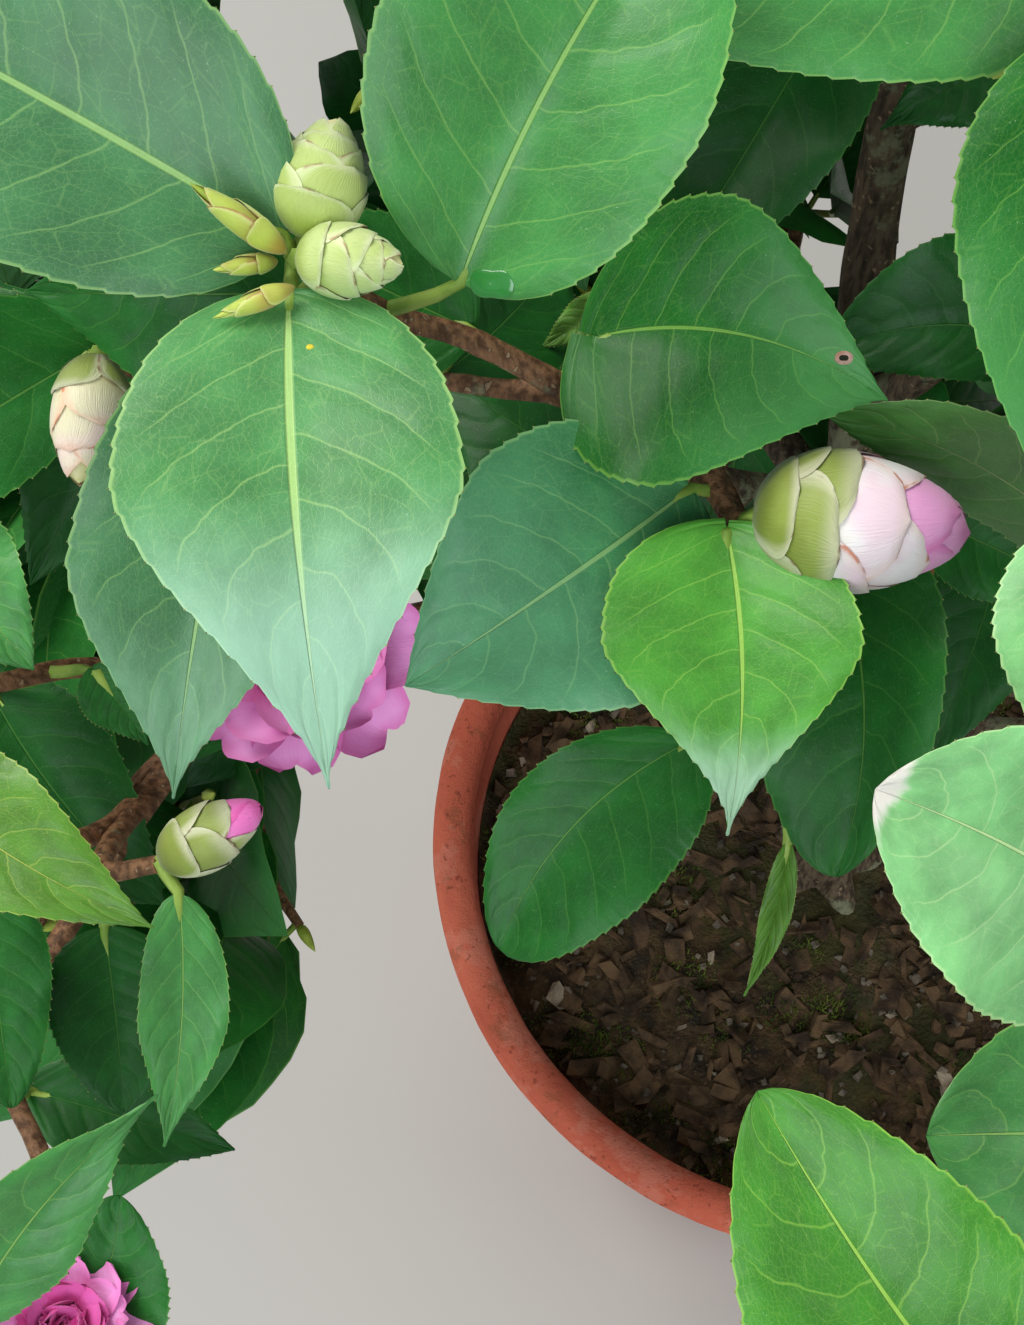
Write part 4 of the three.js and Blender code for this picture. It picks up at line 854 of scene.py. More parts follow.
def leaves_along(path, mass, draw, others, per_twig, spacing, tries, apart, lengths, crown):
    """Leaves along a twig, the first at its end and the rest spaced back from it, each turned on by the
    golden angle. One that doesn't fit, comes near another or passes a share of the crown is tried again
    further round."""
    grown = []
    start_angle = next(draw) * 2 * math.pi
    attempt = 0
    for order in range(per_twig):
        share = 1 - (LEAF_SINK + order * spacing) / path.length
        if share < LEAST_LEAF_SHARE:
            break
        base, along = path.at(share), path.way(share)
        for _ in range(tries):
            angle = start_angle + attempt * GOLDEN_ANGLE
            attempt += 1
            lean = math.radians((END_LEAN if order == 0 else SIDE_LEAN) + LEAN_SPREAD * next(draw))
            long = between(lengths, next(draw))
            width = long * (LEAF_RATIO + RATIO_SPREAD * (next(draw) - 0.5))
            leaf = grow_leaf(base, along, angle, lean, long, width)
            if comes_near(leaf["spots"], others, apart):
                continue
            corners = rule_leaf_corners(base, leaf["out"], long, width, leaf["normal"])
            if np.max(crown_share(corners)) <= crown and fits(corners, mass, LIMB_MARGIN):
                grown.append(leaf)
                others.append(leaf["spots"])
                break
    return grown


def stem_start(name):
    path = trunk_path if name == TOP_MASS else bough_paths[name]
    way = path.way(1.0)
    return path.at(1.0) + way * CLEAR, way


def stem_path(name):
    start, way = stem_start(name)
    end = start + (MASS_CENTRES[name] - start) * STEM_REACH
    middle = start + way * np.linalg.norm(end - start) * 0.4
    return Path([start, middle, end])


def twig_path(knots, point):
    """The twig to a twig end from the nearest knot that has grown. A knot that it would have to turn
    back from counts as further away."""
    def cost(knot):
        return np.linalg.norm(knot[0] - point) + TURN_COST * (1 - np.dot(knot[1], unit(point - knot[0])))
    place, along = min(knots, key=cost)
    span = np.linalg.norm(point - place)
    middle = (place + point) / 2 + along * span * TWIG_BOW
    middle[2] -= span * TWIG_SAG
    return Path([place - along * 2, middle, point])


def twig_fits(path, name):
    """Whether a twig, taken as three rings of three points, stays in its mass's space and out of the
    open views, and in its second half clear of the limbs."""
    shares = np.array([0, 0.5, 1])
    angles = np.arange(3) * 2 * np.pi / 3
    rings = rings_round(path, shares, angles, (TWIG_RADIUS * (1.35 - 0.5 * shares))[:, None])
    for first in (0, 1):
        step = rings[first:first + 2].reshape(-1, 3)
        if np.any(inside_space(step, name) < SPACE_MARGIN):
            return False
        if not all(keeps_out(step, view) for view in OPEN_VIEWS):
            return False
    return not near_limb(step, TWIG_LIMB_MARGIN)


twig_targets = []
for i in range(TWIG_ENDS):
    up = 1 - 2 * (i + 0.5) / TWIG_ENDS
    level = math.sqrt(1 - up * up)
    direction = np.array([level * math.cos(i * GOLDEN_ANGLE), level * math.sin(i * GOLDEN_ANGLE), up])
    skin = np.linalg.norm(crown_point(direction, 1) - CROWN_CENTRE)
    twig_targets.append(crown_point(direction, 1 - TWIG_END_DEPTHS[i % len(TWIG_END_DEPTHS)] / skin))


def swing(direction):
    """The smallest rotation that takes +Y to a direction."""
    x, y, z = np.cross([0, 1.0, 0], direction)
    cross = np.array([[0, -z, y], [z, 0, -x], [-y, x, 0]])
    return np.eye(3) + cross + cross @ cross / (1 + direction[1])


def turned_corners(base, tip, radius, profile, sides):
    """Corners of a body turned about the axis from base to tip. The profile's pairs are shares of the
    axis and of the radius."""
    along, out = np.array(profile).T
    angles = np.arange(sides) * 2 * np.pi / sides
    ring = np.stack([np.sin(angles), np.zeros(sides), np.cos(angles)], axis=-1)
    corners = (out[:, None, None] * radius * ring
               + along[:, None, None] * np.linalg.norm(tip - base) * np.array([0, 1.0, 0]))
    return corners.reshape(-1, 3) @ swing(unit(tip - base)).T + base


# Front sprays
# The five branch ends in front, set out leaf by leaf: the new growth of a camellia, with hard glossy
# leaves, a fat flower bud about to open on the right, and green ones above on the left.

BUD_PROFILE = ((0, 0), (0.16, 0.66), (0.46, 1), (0.8, 0.68), (1, 0))
BLOOM_PROFILE = ((-0.5, 0), (-0.36, 0.5), (0.06, 1), (0.36, 0.66), (0.56, 0))
FORK_LENGTH = 9
FORK_RADII = (3.2, 2.7)
BRANCH_RADII = (2.5, 1.5)
LEAF_STALK_RADII = (1.35, 0.85)
FLOWER_STALK_RADII = (1.5, 1.8)
FINE_SHARES = np.linspace(0, 1, 81)

# Twigs are lines of (across, down, depth) from the camera. A flower bud is its base, tip, radius and
# kind. A bloom is its middle, the place it looks to, and its radius.
SPRAYS = {
    "front": {
        "twigs": [
            [(565, 388, 303), (464, 337, 292), (400, 318, 284), (332, 282, 273), (294, 256, 268)],
            [(708, 470, 306), (731, 512, 298), (742, 524, 295)],
            [(556, 394, 306), (505, 389, 309), (444, 381, 312)],
            [(731, 512, 300), (764, 640, 328), (788, 800, 350)],
        ],
        "buds": [
            ((306, 240, 266), (337, 116, 262), 7.2, "green"),
            ((300, 258, 262), (405, 264, 256), 5.6, "green"),
            ((752, 515, 292), (972, 531, 288), 12.2, "opening"),
        ],
        "blooms": [],
    },
    "near_left": {
        "twigs": [
            [(170, 390, 328), (98, 353, 308)],
            [(20, 450, 330), (-92, 524, 312)],
            [(290, 590, 356), (312, 650, 352)],
        ],
        "buds": [((98, 356, 299), (78, 486, 294), 6.8, "cream")],
        "blooms": [((300, 652, 342), (296, 670, 312), 22.5)],
    },
    "near_low_left": {
        "twigs": [
            [(91, 668, 334), (0, 683, 320), (-60, 700, 314)],
            [(150, 790, 352), (60, 840, 322), (-112, 752, 300)],
            [(150, 790, 352), (105, 871, 310), (160, 864, 302)],
            [(110, 860, 346), (8, 1060, 332), (42, 1160, 330), (70, 1290, 328)],
            [(60, 880, 346), (-40, 1100, 318), (-30, 1300, 288)],
        ],
        "buds": [((162, 862, 302), (262, 806, 298), 5.8, "young")],
        "blooms": [((64, 1330, 318), (70, 1260, 292), 15)],
    },
    "near_right": {
        "twigs": [
            [(1125, 300, 320), (1128, 120, 288), (1126, 22, 270), (1116, -116, 282)],
            [(1100, 220, 340), (1012, 62, 330), (930, -24, 320), (852, -22, 324)],
            [(1088, 480, 330), (1092, 556, 306), (1122, 510, 252)],
            [(1020, 480, 350), (934, 518, 332)],
        ],
        "buds": [],
        "blooms": [],
    },
    "near_low_right": {
        "twigs": [
            [(1225, 960, 280), (1120, 922, 247)],
            [(1250, 1100, 300), (1262, 1150, 282)],
            [(1235, 1180, 290), (1150, 1380, 250), (1045, 1476, 230)],
        ],
        "buds": [],
        "blooms": [],
    },
}

# A leaf is its name, its tint, its base and tip, its width, the roll of its face about the midrib in
# degrees, the side bow and the droop of the midrib, the fold in degrees, the lop, the widest place, the
# taper and the lobes.
LEAF_ROW = ("name", "tint", "base", "tip", "width", "roll", "side", "droop", "fold", "lop", "widest", "taper",
            "lobes")
SPRAY_LEAVES = {"front": [
    ("long_left", "cool", (285, 238, 264), (-240, -50, 254), 49, 0, -0.01, 0.05, 12, -0.04, 0.55, 1.25, 0),
    ("top_middle", "green", (460, 284, 272), (700, -150, 256), 51, 0, 0.04, 0.06, 21, 0.07, 0.5, 0.6, 0),
    ("near_left", "fresh", (289, 297, 262), (329, 789, 236), 47, 0, -0.02, 0.07, 5, -0.02, 0.45, 1.5, 0.02),
    ("under_left", "cool", (262, 330, 276), (173, 799, 290), 37, 0, -0.02, 0.05, 14, -0.14, 0.52, 1.5, 0.04),
    ("dark_left", "dark", (290, 292, 288), (25, 290, 296), 33, -15, 0, 0.04, 14, 0, 0.38, 1.22, 0.04),
    ("dark_middle", "dark", (468, 328, 302), (262, 232, 306), 29, 0, 0, 0.05, 14, 0.12, 0.39, 0.9, 0.04),
    ("upper", "gloss", (597, 337, 298), (888, 401, 286), 49, -8, 0.1, 0.07, 16, -0.14, 0.38, 1.24, 0.08),
    ("lower_middle", "jade", (692, 488, 300), (405, 686, 292), 48, 0, 0.01, 0.05, 12, 0.01, 0.45, 1.01, 0),
    ("bright", "bright", (727, 531, 292), (727, 836, 288), 41, 0, 0.05, 0.07, 12, -0.08, 0.4, 1.8, 0.04),
    ("behind", "dark", (815, 520, 312), (837, 877, 306), 39, 15, 0.12, 0.05, 14, -0.18, 0.35, 0.6, 0.1),
    ("low_dark", "dark", (687, 743, 344), (500, 950, 352), 33, 0, -0.1, 0.05, 12, 0.2, 0.5, 0.55, 0.02),
    ("olive", "yellow", (612, 300, 318), (541, 348, 322), 8, 0, 0.01, 0.02, 14, 0.01, 0.38, 1.25, 0.03),
    ("shade_low", "deep", (650, 506, 334), (424, 352, 346), 29, 0, 0.03, 0.05, 12, 0.02, 0.42, 1.1, 0.02),
    ("shade_high", "deep", (440, 376, 314), (560, 250, 336), 26, 0, -0.04, 0.05, 12, 0.02, 0.45, 0.9, 0.02),
    ("edge_on", "yellow", (789, 842, 352), (744, 996, 364), 7, 0, 0.04, 0.03, 30, 0.02, 0.4, 1.3, 0),
], "near_left": [
    ("edge_left", "dark", (94, 351, 311), (-215, 545, 302), 32, 0, -0.01, 0.05, 12, -0.19, 0.45, 1.1, 0.04),
    ("edge_back", "dark", (104, 352, 316), (-150, 285, 324), 24, 0, 0.11, 0.05, 12, 0.04, 0.38, 1.26, 0.04),
    ("side_left", "green", (-95, 520, 308), (34, 670, 306), 24, 0, 0, 0.05, 12, -0.01, 0.39, 0.97, 0.03),
    ("deep_left", "deep", (108, 372, 334), (30, 585, 338), 25, 0, 0.04, 0.05, 12, 0.02, 0.38, 1.07, 0.04),
], "near_low_left": [
    ("yellow", "yellow", (-120, 750, 294), (154, 928, 286), 23, 0, -0.05, 0.06, 12, 0.1, 0.43, 1.15, 0),
    ("low_left", "deep", (-10, 690, 346), (165, 905, 350), 32, 0, -0.05, 0.05, 12, -0.08, 0.39, 0.95, 0.01),
    ("small_dark", "dark", (92, 668, 318), (148, 745, 322), 12, 0, 0.01, 0.04, 12, 0.01, 0.38, 1.25, 0.02),
    ("hang_a", "dark", (-12, 893, 310), (12, 1108, 306), 19, 0, -0.01, 0.04, 12, -0.01, 0.39, 0.6, 0.03),
    ("hang_b", "deep", (104, 928, 320), (124, 1112, 318), 23, 0, 0.01, 0.04, 12, -0.02, 0.39, 0.65, 0.01),
    ("hang_c", "green", (179, 894, 302), (164, 1147, 300), 15, 0, 0.04, 0.04, 12, 0.03, 0.49, 1.34, 0),
    ("blade", "green", (-26, 1312, 282), (158, 1094, 276), 25, 35, 0.1, 0.05, 16, 0.24, 0.43, 1.66, 0.05),
    ("low_corner", "dark", (60, 1350, 326), (120, 1195, 322), 26, 0, -0.09, 0.04, 12, -0.05, 0.38, 0.6, 0.04),
    ("deep_low", "deep", (30, 1090, 352), (235, 1150, 352), 19, 0, 0, 0.04, 12, -0.02, 0.39, 0.98, 0.03),
], "near_right": [
    ("top_right", "green", (1115, -119, 280), (626, 30, 268), 44, 0, 0, 0.05, 12, 0, 0.38, 0.92, 0.05),
    ("blue_right", "gloss", (1126, 20, 262), (1100, 540, 250), 39, 0, -0.04, 0.05, 12, 0.01, 0.39, 0.7, 0.01),
    ("grey_right", "grey", (1095, 560, 302), (828, 413, 294), 30, -48, -0.1, -0.02, 6, -0.3, 0.3, 0.65, 0.15),
    ("dark_right", "deep", (1085, 360, 306), (826, 352, 312), 25, 0, -0.12, 0.05, 14, -0.25, 0.5, 0.6, 0.02),
    ("light_right", "pale", (1125, 505, 248), (1135, 830, 236), 33, 0, -0.03, 0.05, 12, 0.02, 0.41, 0.8, 0),
    ("deep_right", "dark", (930, 520, 326), (1090, 600, 330), 22, 0, 0.02, 0.05, 12, 0.1, 0.38, 1.4, 0.03),
    ("low_right", "deep", (1005, 545, 344), (925, 770, 350), 24, 0, 0.02, 0.05, 12, -0.02, 0.38, 1.2, 0.04),
    ("deep_top", "deep", (850, -20, 324), (655, 300, 334), 33, 10, 0.01, 0.05, 14, -0.01, 0.39, 0.75, 0.02),
    ("deep_back", "deep", (1010, 70, 330), (880, 130, 336), 17, 0, -0.06, 0.05, 12, -0.04, 0.37, 1.5, 0.05),
], "near_low_right": [
    ("pale_tip", "pale", (1115, 920, 244), (875, 789, 224), 42, 0, -0.04, 0.08, 14, -0.02, 0.46, 0.62, 0),
    ("side_low", "green", (1260, 1150, 278), (926, 1136, 254), 48, 0, -0.02, 0.05, 12, 0.01, 0.5, 0.6, 0.03),
    ("corner", "lime", (1040, 1480, 226), (757, 1091, 214), 36, 0, 0.03, 0.08, 14, 0.06, 0.52, 0.62, 0),
]}


def rolled_face(base, tip, roll):
    """The way a leaf's face looks: towards the camera, rolled about the midrib."""
    along = unit(tip - base)
    face = square_to(unit(STATION - (base + tip) / 2), along)
    angle = math.radians(roll)
    return face * math.cos(angle) + np.cross(along, face) * math.sin(angle)


def spray_leaf(row):
    leaf = dict(zip(LEAF_ROW, row))
    base, tip = at(leaf["base"]), at(leaf["tip"])
    face = rolled_face(base, tip, leaf["roll"])
    out = unit(tip - base)
    long = np.linalg.norm(tip - base)
    return leaf | {"base": base, "out": out, "long": long, "normal": face,
                   "spots": leaf_spots(base, out, long, face, leaf["width"])}


spray_leaves = {name: [spray_leaf(row) for row in rows] for name, rows in SPRAY_LEAVES.items()}
front_leaves = [leaf for leaves in spray_leaves.values() for leaf in leaves]
twig_lines = []
stalk_lines = []
shoot_tips = []
flower_buds = []
blooms = []


def nearest_on(paths, point):
    """The point of a set of paths that lies nearest to a point."""
    points = np.concatenate([path.at(FINE_SHARES) for path in paths])
    return points[np.argmin(np.linalg.norm(points - point, axis=1))]


def stalk_path(paths, base, onward):
    """A stalk from inside the nearest twig to the base of what it bears, and on into it."""
    root = nearest_on(paths, base)
    start = root - unit(base - root) * 0.8
    bend = start + (base - start) * 0.6 + np.array([0, 0, -0.6])
    return Path([start, bend, base, base + onward * 6])


for name, spray in SPRAYS.items():
    start, way = stem_start(name)
    fork = start + way * FORK_LENGTH * 0.75
    lines = [Path([fork, *(at(place) for place in line)]) for line in spray["twigs"]]
    twig_lines.append((Path([start, start + way * FORK_LENGTH]), FORK_RADII, "old"))
    twig_lines += [(line, BRANCH_RADII, "old") for line in lines]
    for leaf in spray_leaves[name]:
        stalk_lines.append((stalk_path(lines, leaf["base"], leaf["out"]), LEAF_STALK_RADII))
    for base, tip, radius, kind in spray["buds"]:
        base, tip = at(base), at(tip)
        flower_buds.append((base, tip, radius, kind))
        stalk_lines.append((stalk_path(lines, base, unit(tip - base)), FLOWER_STALK_RADII))
    for centre, towards, radius in spray["blooms"]:
        centre = at(centre)
        outward = unit(at(towards) - centre)
        blooms.append((centre, outward, radius))
        foot = centre - outward * BLOOM_LIFT / 3
        stalk_lines.append((stalk_path(lines, foot, outward), FLOWER_STALK_RADII))

# Masses of foliage
# Eleven masses round the crown. The first twigs run to the twig ends, as a camellia's leading shoots
# do. Short side shoots with smaller leaves then fill the rooms between them.

SIDE_SHOOT_PLACES = (0.34, 0.56, 0.78)
SIDE_SHOOT_LENGTH = (22, 50)
SIDE_SHOOT_LEAN = 52
SIDE_SHOOT_TRIES = 7
SIDE_SHOOT_CROWN = 0.94
STEM_RADII = (3.2, 2.0)
TWIG_RADII = (TWIG_RADIUS * 1.35, TWIG_RADIUS * 0.85)
SIDE_SHOOT_RADII = (1.25, 0.8)
SMALL_STALK_RADII = (0.95, 0.75)
SIDE_LEAVES = {"per_twig": 3, "spacing": 9, "tries": 12, "apart": 6.5, "lengths": (42, 76), "crown": 0.965}
FILLING_LEAVES = SIDE_LEAVES | {"per_twig": 6, "spacing": 15, "tries": 8}
LEAF_FOOT = 5
OUTER_CROWN = 0.82
MASS_SEED = 11
# Tints by place: the darker ones inside the crown are partly older leaves and partly painted shade, and those
# of the shaded low masses below are painted shade.
TINTS_OUTSIDE = ("fresh", "green", "green", "gloss", "green", "gloss", "dark")
TINTS_INSIDE = ("green", "dark", "gloss", "dark", "deep")
SHADE_TINTS_BELOW = ("dark", "gloss", "deep", "dark")
SHADED_MASSES = ("low_left", "low_back", "low_right")

# A view kept bare after the masses have grown, as left, top, right, bottom. Leaves that hang far into it
# are left off, with the shoots that bear no others, and a twig that ends in it is cut back.
BARE_VIEW = (235, 900, 470, 1330)
MOST_BARE_SPOTS = 2
BORNE_GAP = 1.5
LEAST_TWIG_SHARE = 0.3


def side_shoot(line, share, angle, long):
    """A shoot that leans out from a line at a share of its length and lifts a little at its end."""
    base, along = line.at(share), line.way(share)
    out = leaning(along, angle, math.radians(SIDE_SHOOT_LEAN))
    bend = base + out * long * 0.5 + along * long * 0.05
    return Path([base, bend, base + out * long + np.array([0, 0, 2.0])])


def plate_place(points):
    """The pixels, across and down, at which points show in the photograph."""
    way = points - STATION
    depth = way @ FORWARD
    return (way @ ACROSS * PLATE_DISTANCE / depth + PLATE_CENTRE[0],
            PLATE_CENTRE[1] - way @ UPWARD * PLATE_DISTANCE / depth)


def shows_bare(points):
    """Which points show in the bare view."""
    left, top, right, bottom = BARE_VIEW
    along, down = plate_place(points)
    return (along > left) & (along < right) & (down > top) & (down < bottom)


def hangs_bare(leaf):
    """Whether more than a quarter of a leaf's spots show in the bare view."""
    return np.count_nonzero(shows_bare(leaf["spots"])) > MOST_BARE_SPOTS


def cut_back(line, borne):
    """A twig, cut back to the last of the points borne on it if its end shows in the bare view."""
    if not shows_bare(line.at(1.0)):
        return line
    gaps = np.linalg.norm(line.at(FINE_SHARES)[:, None] - np.array(borne), axis=-1)
    bearing = FINE_SHARES[np.min(gaps, axis=1) < BORNE_GAP]
    return Path(line.at(np.linspace(0, max(LEAST_TWIG_SHARE, *bearing), 4)))


def dress(leaves, draw, shaded):
    """Gives each leaf of a mass its tint: the youngest are bright and lie outside, and those that are
    deep in the crown, or under it in a shaded mass, are dark, partly for age and partly as painted
    shade. The blade starts beyond the leaf's foot."""
    for leaf in leaves:
        outside = crown_share(leaf["base"] + leaf["out"] * leaf["long"]) > OUTER_CROWN
        tints = SHADE_TINTS_BELOW if shaded else TINTS_OUTSIDE if outside else TINTS_INSIDE
        leaf["tint"] = tints[int(next(draw) * len(tints))]
        leaf["base"] = leaf["base"] + leaf["out"] * LEAF_FOOT
        leaf["long"] = leaf["long"] - LEAF_FOOT


def grow_mass(name, seed):
    """Grows a mass: its stem, a twig to each twig end in its space, and leaves, buds and blooms on
    them, then side shoots with small leaves. Returns its leaves."""
    draw = random_from(seed)
    stem = stem_path(name)
    start, way = stem_start(name)
    knots = [(stem.at(share), stem.way(share)) for share in STEM_KNOTS]
    spots = [leaf["spots"] for leaf in front_leaves]
    lines, leaves = [], []
    targets = [(i, point) for i, point in enumerate(twig_targets)
               if inside_space(point, name)[0] > LEAST_TARGET_INSET]
    targets.sort(key=lambda target: np.linalg.norm(target[1] - start))
    for order, point in targets:
        line = twig_path(knots, point)
        if not twig_fits(line, name):
            continue
        lines.append(line)
        leaves += leaves_along(line, name, draw, spots, **LEADING_LEAVES)
        knots += [(line.at(share), line.way(share)) for share in TWIG_KNOTS]
        along = line.way(1.0)
        if order % BLOOMS["every"] == BLOOMS["first"]:
            middle = point + along * BLOOMS["lift"]
            corners = turned_corners(middle, middle + along * BLOOM_LIFT, BLOOMS["radius"], BLOOM_PROFILE, 8)
            if fits(corners, name, FLOWER_LIMB_MARGIN):
                blooms.append((middle, along, BLOOMS["radius"]))
        elif order % BUDS["every"] == BUDS["first"]:
            foot = point - along * BUDS["sink"]
            tip = foot + along * BUDS["length"]
            corners = turned_corners(foot, tip, BUDS["radius"], BUD_PROFILE, 6)
            if fits(corners, name, FLOWER_LIMB_MARGIN):
                flower_buds.append((foot, tip, BUDS["radius"], ("opening", "green", "cream")[order % 3]))
    shoots = []
    for line in lines:
        for share in SIDE_SHOOT_PLACES:
            long = between(SIDE_SHOOT_LENGTH, next(draw))
            turn = next(draw) * 2 * math.pi
            for attempt in range(SIDE_SHOOT_TRIES):
                shoot = side_shoot(line, share, turn + attempt * GOLDEN_ANGLE, long)
                if twig_fits(shoot, name) and crown_share(shoot.at(1.0)) < SIDE_SHOOT_CROWN:
                    shoots.append(shoot)
                    break
    leafy = []
    for shoot in shoots:
        small = leaves_along(shoot, name, draw, spots, **SIDE_LEAVES)
        leaves += small
        if any(not hangs_bare(leaf) for leaf in small):
            leafy.append(shoot)
    for line in [stem, *lines]:
        leaves += leaves_along(line, name, draw, spots, **FILLING_LEAVES)
    shown = [leaf for leaf in leaves if not hangs_bare(leaf)]
    borne = [leaf["base"] for leaf in shown] + [path.at(0.0) for path in [*lines, *leafy]]
    lines = [cut_back(line, borne) for line in lines]
    twig_lines.append((stem, STEM_RADII, "old"))
    twig_lines.extend((line, TWIG_RADII, "old") for line in lines)
    twig_lines.extend((shoot, SIDE_SHOOT_RADII, "young") for shoot in leafy)
    shoot_tips.extend((path.at(1.0), path.way(1.0)) for path in [*lines, *leafy])
    for leaf in shown:
        foot = leaf["base"]
        bend = foot + leaf["out"] * 4 + np.array([0, 0, -0.4])
        stalk_lines.append((Path([foot, bend, foot + leaf["out"] * 9]), SMALL_STALK_RADII))
    dress(leaves, draw, name in SHADED_MASSES)
    return shown


mass_leaves = []
for order, name in enumerate(MASS_CENTRES):
    mass_leaves += grow_mass(name, MASS_SEED + order)

# Twigs and leaf stalks
# Last year's twigs are brown and ringed where leaves were shed. This year's shoots and the leaf stalks
# are green, and each shoot ends in a small pointed leaf bud.

old_twigs, young_twigs, stalks = Bundle(), Bundle(), Bundle()


def twig_radius(radii, length, seed):
    """A twig's even taper, swollen a little at its leaf joints, and with faint wrinkles."""
    def radius(share, angle):
        joints = 0.1 * np.exp(-(((share * length / 13) % 1 - 0.5) / 0.12) ** 2)
        return between(radii, share) * (1 + joints + 0.04 * np.sin(angle * 3 + seed + share * 9))
    return radius


for order, (line, radii, age) in enumerate(twig_lines):
    steps = int(np.clip(line.length / 3.5, 6, 60))
    bundle, sides = (old_twigs, 9) if age == "old" else (young_twigs, 7)
    limb(bundle, line, steps, sides, twig_radius(radii, line.length, order))
for line, radii in stalk_lines:
    limb(stalks, line, 4, 6, lambda share, angle: between(radii, share))
old_wood = old_twigs.make("brown_twigs", bark_finish("twig_bark", (86, 58, 38), (146, 106, 74), 0.3, 0.6))
shoot_skin = scraps_finish("shoot_skin", (96, 96, 44), (128, 142, 66), 0.5, 0.0002)
new_wood = young_twigs.make("green_shoots", shoot_skin)
stalk_skin = scraps_finish("stalk_skin", (112, 146, 54), (152, 178, 80), 0.45, 0.0001)
leaf_stalks = stalks.make("leaf_stalks", stalk_skin)

# Leaves
# Evergreen camellia leaves: leathery, glossy above and matt beneath, folded along a pale midrib, with
# looped side veins, a fine net between them, and blunt teeth, each ending in a gland.

HERO_ROWS = 133
HERO_COLUMNS = 13
RULE_ROWS = 11
RULE_COLUMNS = 5
TEETH = 22
HERO_RELIEF = 0.06
HERO_WAVE = 0.7
RULE_WAVE = 1.2
TOOTH_HEIGHT = 0.5
LEAF_THICKNESS = 0.45
VEINS = 7.5
VEIN_RISE = 0.25

# The map of a sheet has its face on the left and its back on the right, each with a margin round it.
MAP_MARGIN = 0.02
MAP_WIDTH = 0.46
MAP_HEIGHT = 0.96
MAP_STEP = 0.5

# The blade's colour and that of its veins, for each tint. The dark and deep tints go to leaves that lie
# behind and under others: their darker blades are partly painted shade.
LEAF_PAINTS = {
    "fresh": ((82, 152, 84), (170, 208, 122)), "bright": ((82, 166, 54), (164, 210, 92)),
    "cool": ((72, 132, 80), (148, 190, 110)), "jade": ((64, 144, 84), (144, 192, 116)),
    "green": ((70, 148, 70), (142, 190, 94)), "gloss": ((30, 106, 34), (118, 168, 70)),
    "dark": ((34, 108, 38), (86, 140, 58)), "deep": ((26, 90, 30), (62, 116, 46)),
    "pale": ((132, 204, 126), (192, 224, 154)), "grey": ((70, 128, 54), (140, 166, 100)),
    "yellow": ((84, 138, 40), (172, 190, 84)), "lime": ((66, 142, 38), (152, 200, 78)),
}
BROAD_MIDRIBS = {"fresh": 0.046, "cool": 0.042, "bright": 0.034, "green": 0.032, "jade": 0.03, "lime": 0.034}
MIDRIB = 0.024
DARK_TINTS = ("gloss", "dark", "deep")

# A pale film towards a leaf's tip: painted sheen on fresh, bright, jade and cool leaves, with real wax as
# well on fresh and bright ones, painted light past a shaded base on gloss leaves, and a whitish dead tip on
# pale
# ones. For each: where along the leaf it starts and where it is full, the share of the colour under it
# that it hides, and its own colour
TIP_SHEEN_AND_WAX = {
    "fresh": (0.42, 0.78, 0.55, (176, 214, 196)), "bright": (0.62, 0.86, 0.6, (190, 222, 200)),
    "jade": (0.2, 0.7, 0.2, (136, 190, 160)), "cool": (0.5, 0.9, 0.4, (150, 196, 160)),
    "pale": (0.93, 0.97, 0.9, (226, 216, 208)), "gloss": (0.25, 0.95, 0.5, (92, 162, 92)),
}


def columns_across(columns):
    """Places of the columns across a blade, -1 to 1, closer together towards the margins."""
    even = np.linspace(-1, 1, columns)
    return np.sign(even) * (1 - (1 - np.abs(even)) ** 1.35)


def vein_phase(s, c):
    """Which side vein a place on a leaf belongs to. A vein leaves the midrib at an angle and bows
    towards the tip, and those of the two sides take turns."""
    return (s - VEIN_RISE * np.abs(c) ** 1.4) * VEINS + 0.5 * (c > 0)


def sheets(grid, thick):
    """Closed thin sheets from grids of points, numbered (sheet, row, column, axis). Both sides share
    the points of the margin. Inside it the face rises along the normal by half the thickness, and the
    back sinks by as much. Returns points, quads, each quad's side and its corners' map."""
    count, rows, columns = grid.shape[:3]
    normal = unit(np.cross(np.gradient(grid, axis=1), np.gradient(grid, axis=2)))
    face = grid.copy()
    inner = (slice(None), slice(1, -1), slice(1, -1))
    face[inner] += normal[inner] * thick / 2
    back = (grid - normal * thick / 2)[inner].reshape(count, -1, 3)
    points = np.concatenate([face.reshape(count, -1, 3), back], axis=1)
    front_index = np.arange(rows * columns).reshape(rows, columns)
    back_index = front_index.copy()
    back_index[1:-1, 1:-1] = rows * columns + np.arange((rows - 2) * (columns - 2)).reshape(rows - 2, -1)

    def corners(table, order):
        """The corners of each quad of a grid, taken in this order round it."""
        found = (table[:-1, :-1], table[1:, :-1], table[1:, 1:], table[:-1, 1:])
        return np.stack([found[i] for i in order], axis=2).reshape(-1, 4, *table.shape[2:])

    face_order, back_order = (0, 1, 2, 3), (0, 3, 2, 1)
    quads = np.concatenate([corners(front_index, face_order), corners(back_index, back_order)])
    spread = np.stack(np.meshgrid(columns_across(columns) / 2 + 0.5, np.linspace(0, 1, rows)), axis=-1)
    face_map = spread * (MAP_WIDTH, MAP_HEIGHT) + MAP_MARGIN
    uvs = np.concatenate([corners(face_map, face_order), corners(face_map + (MAP_STEP, 0), back_order)])
    side = np.repeat((0, 1), len(quads) // 2)
    step = np.arange(count)[:, None, None] * points.shape[1]
    return (points.reshape(-1, 3), (quads[None] + step).reshape(-1, 4), np.tile(side, count),
            np.tile(uvs.reshape(-1, 2), (count, 1)))


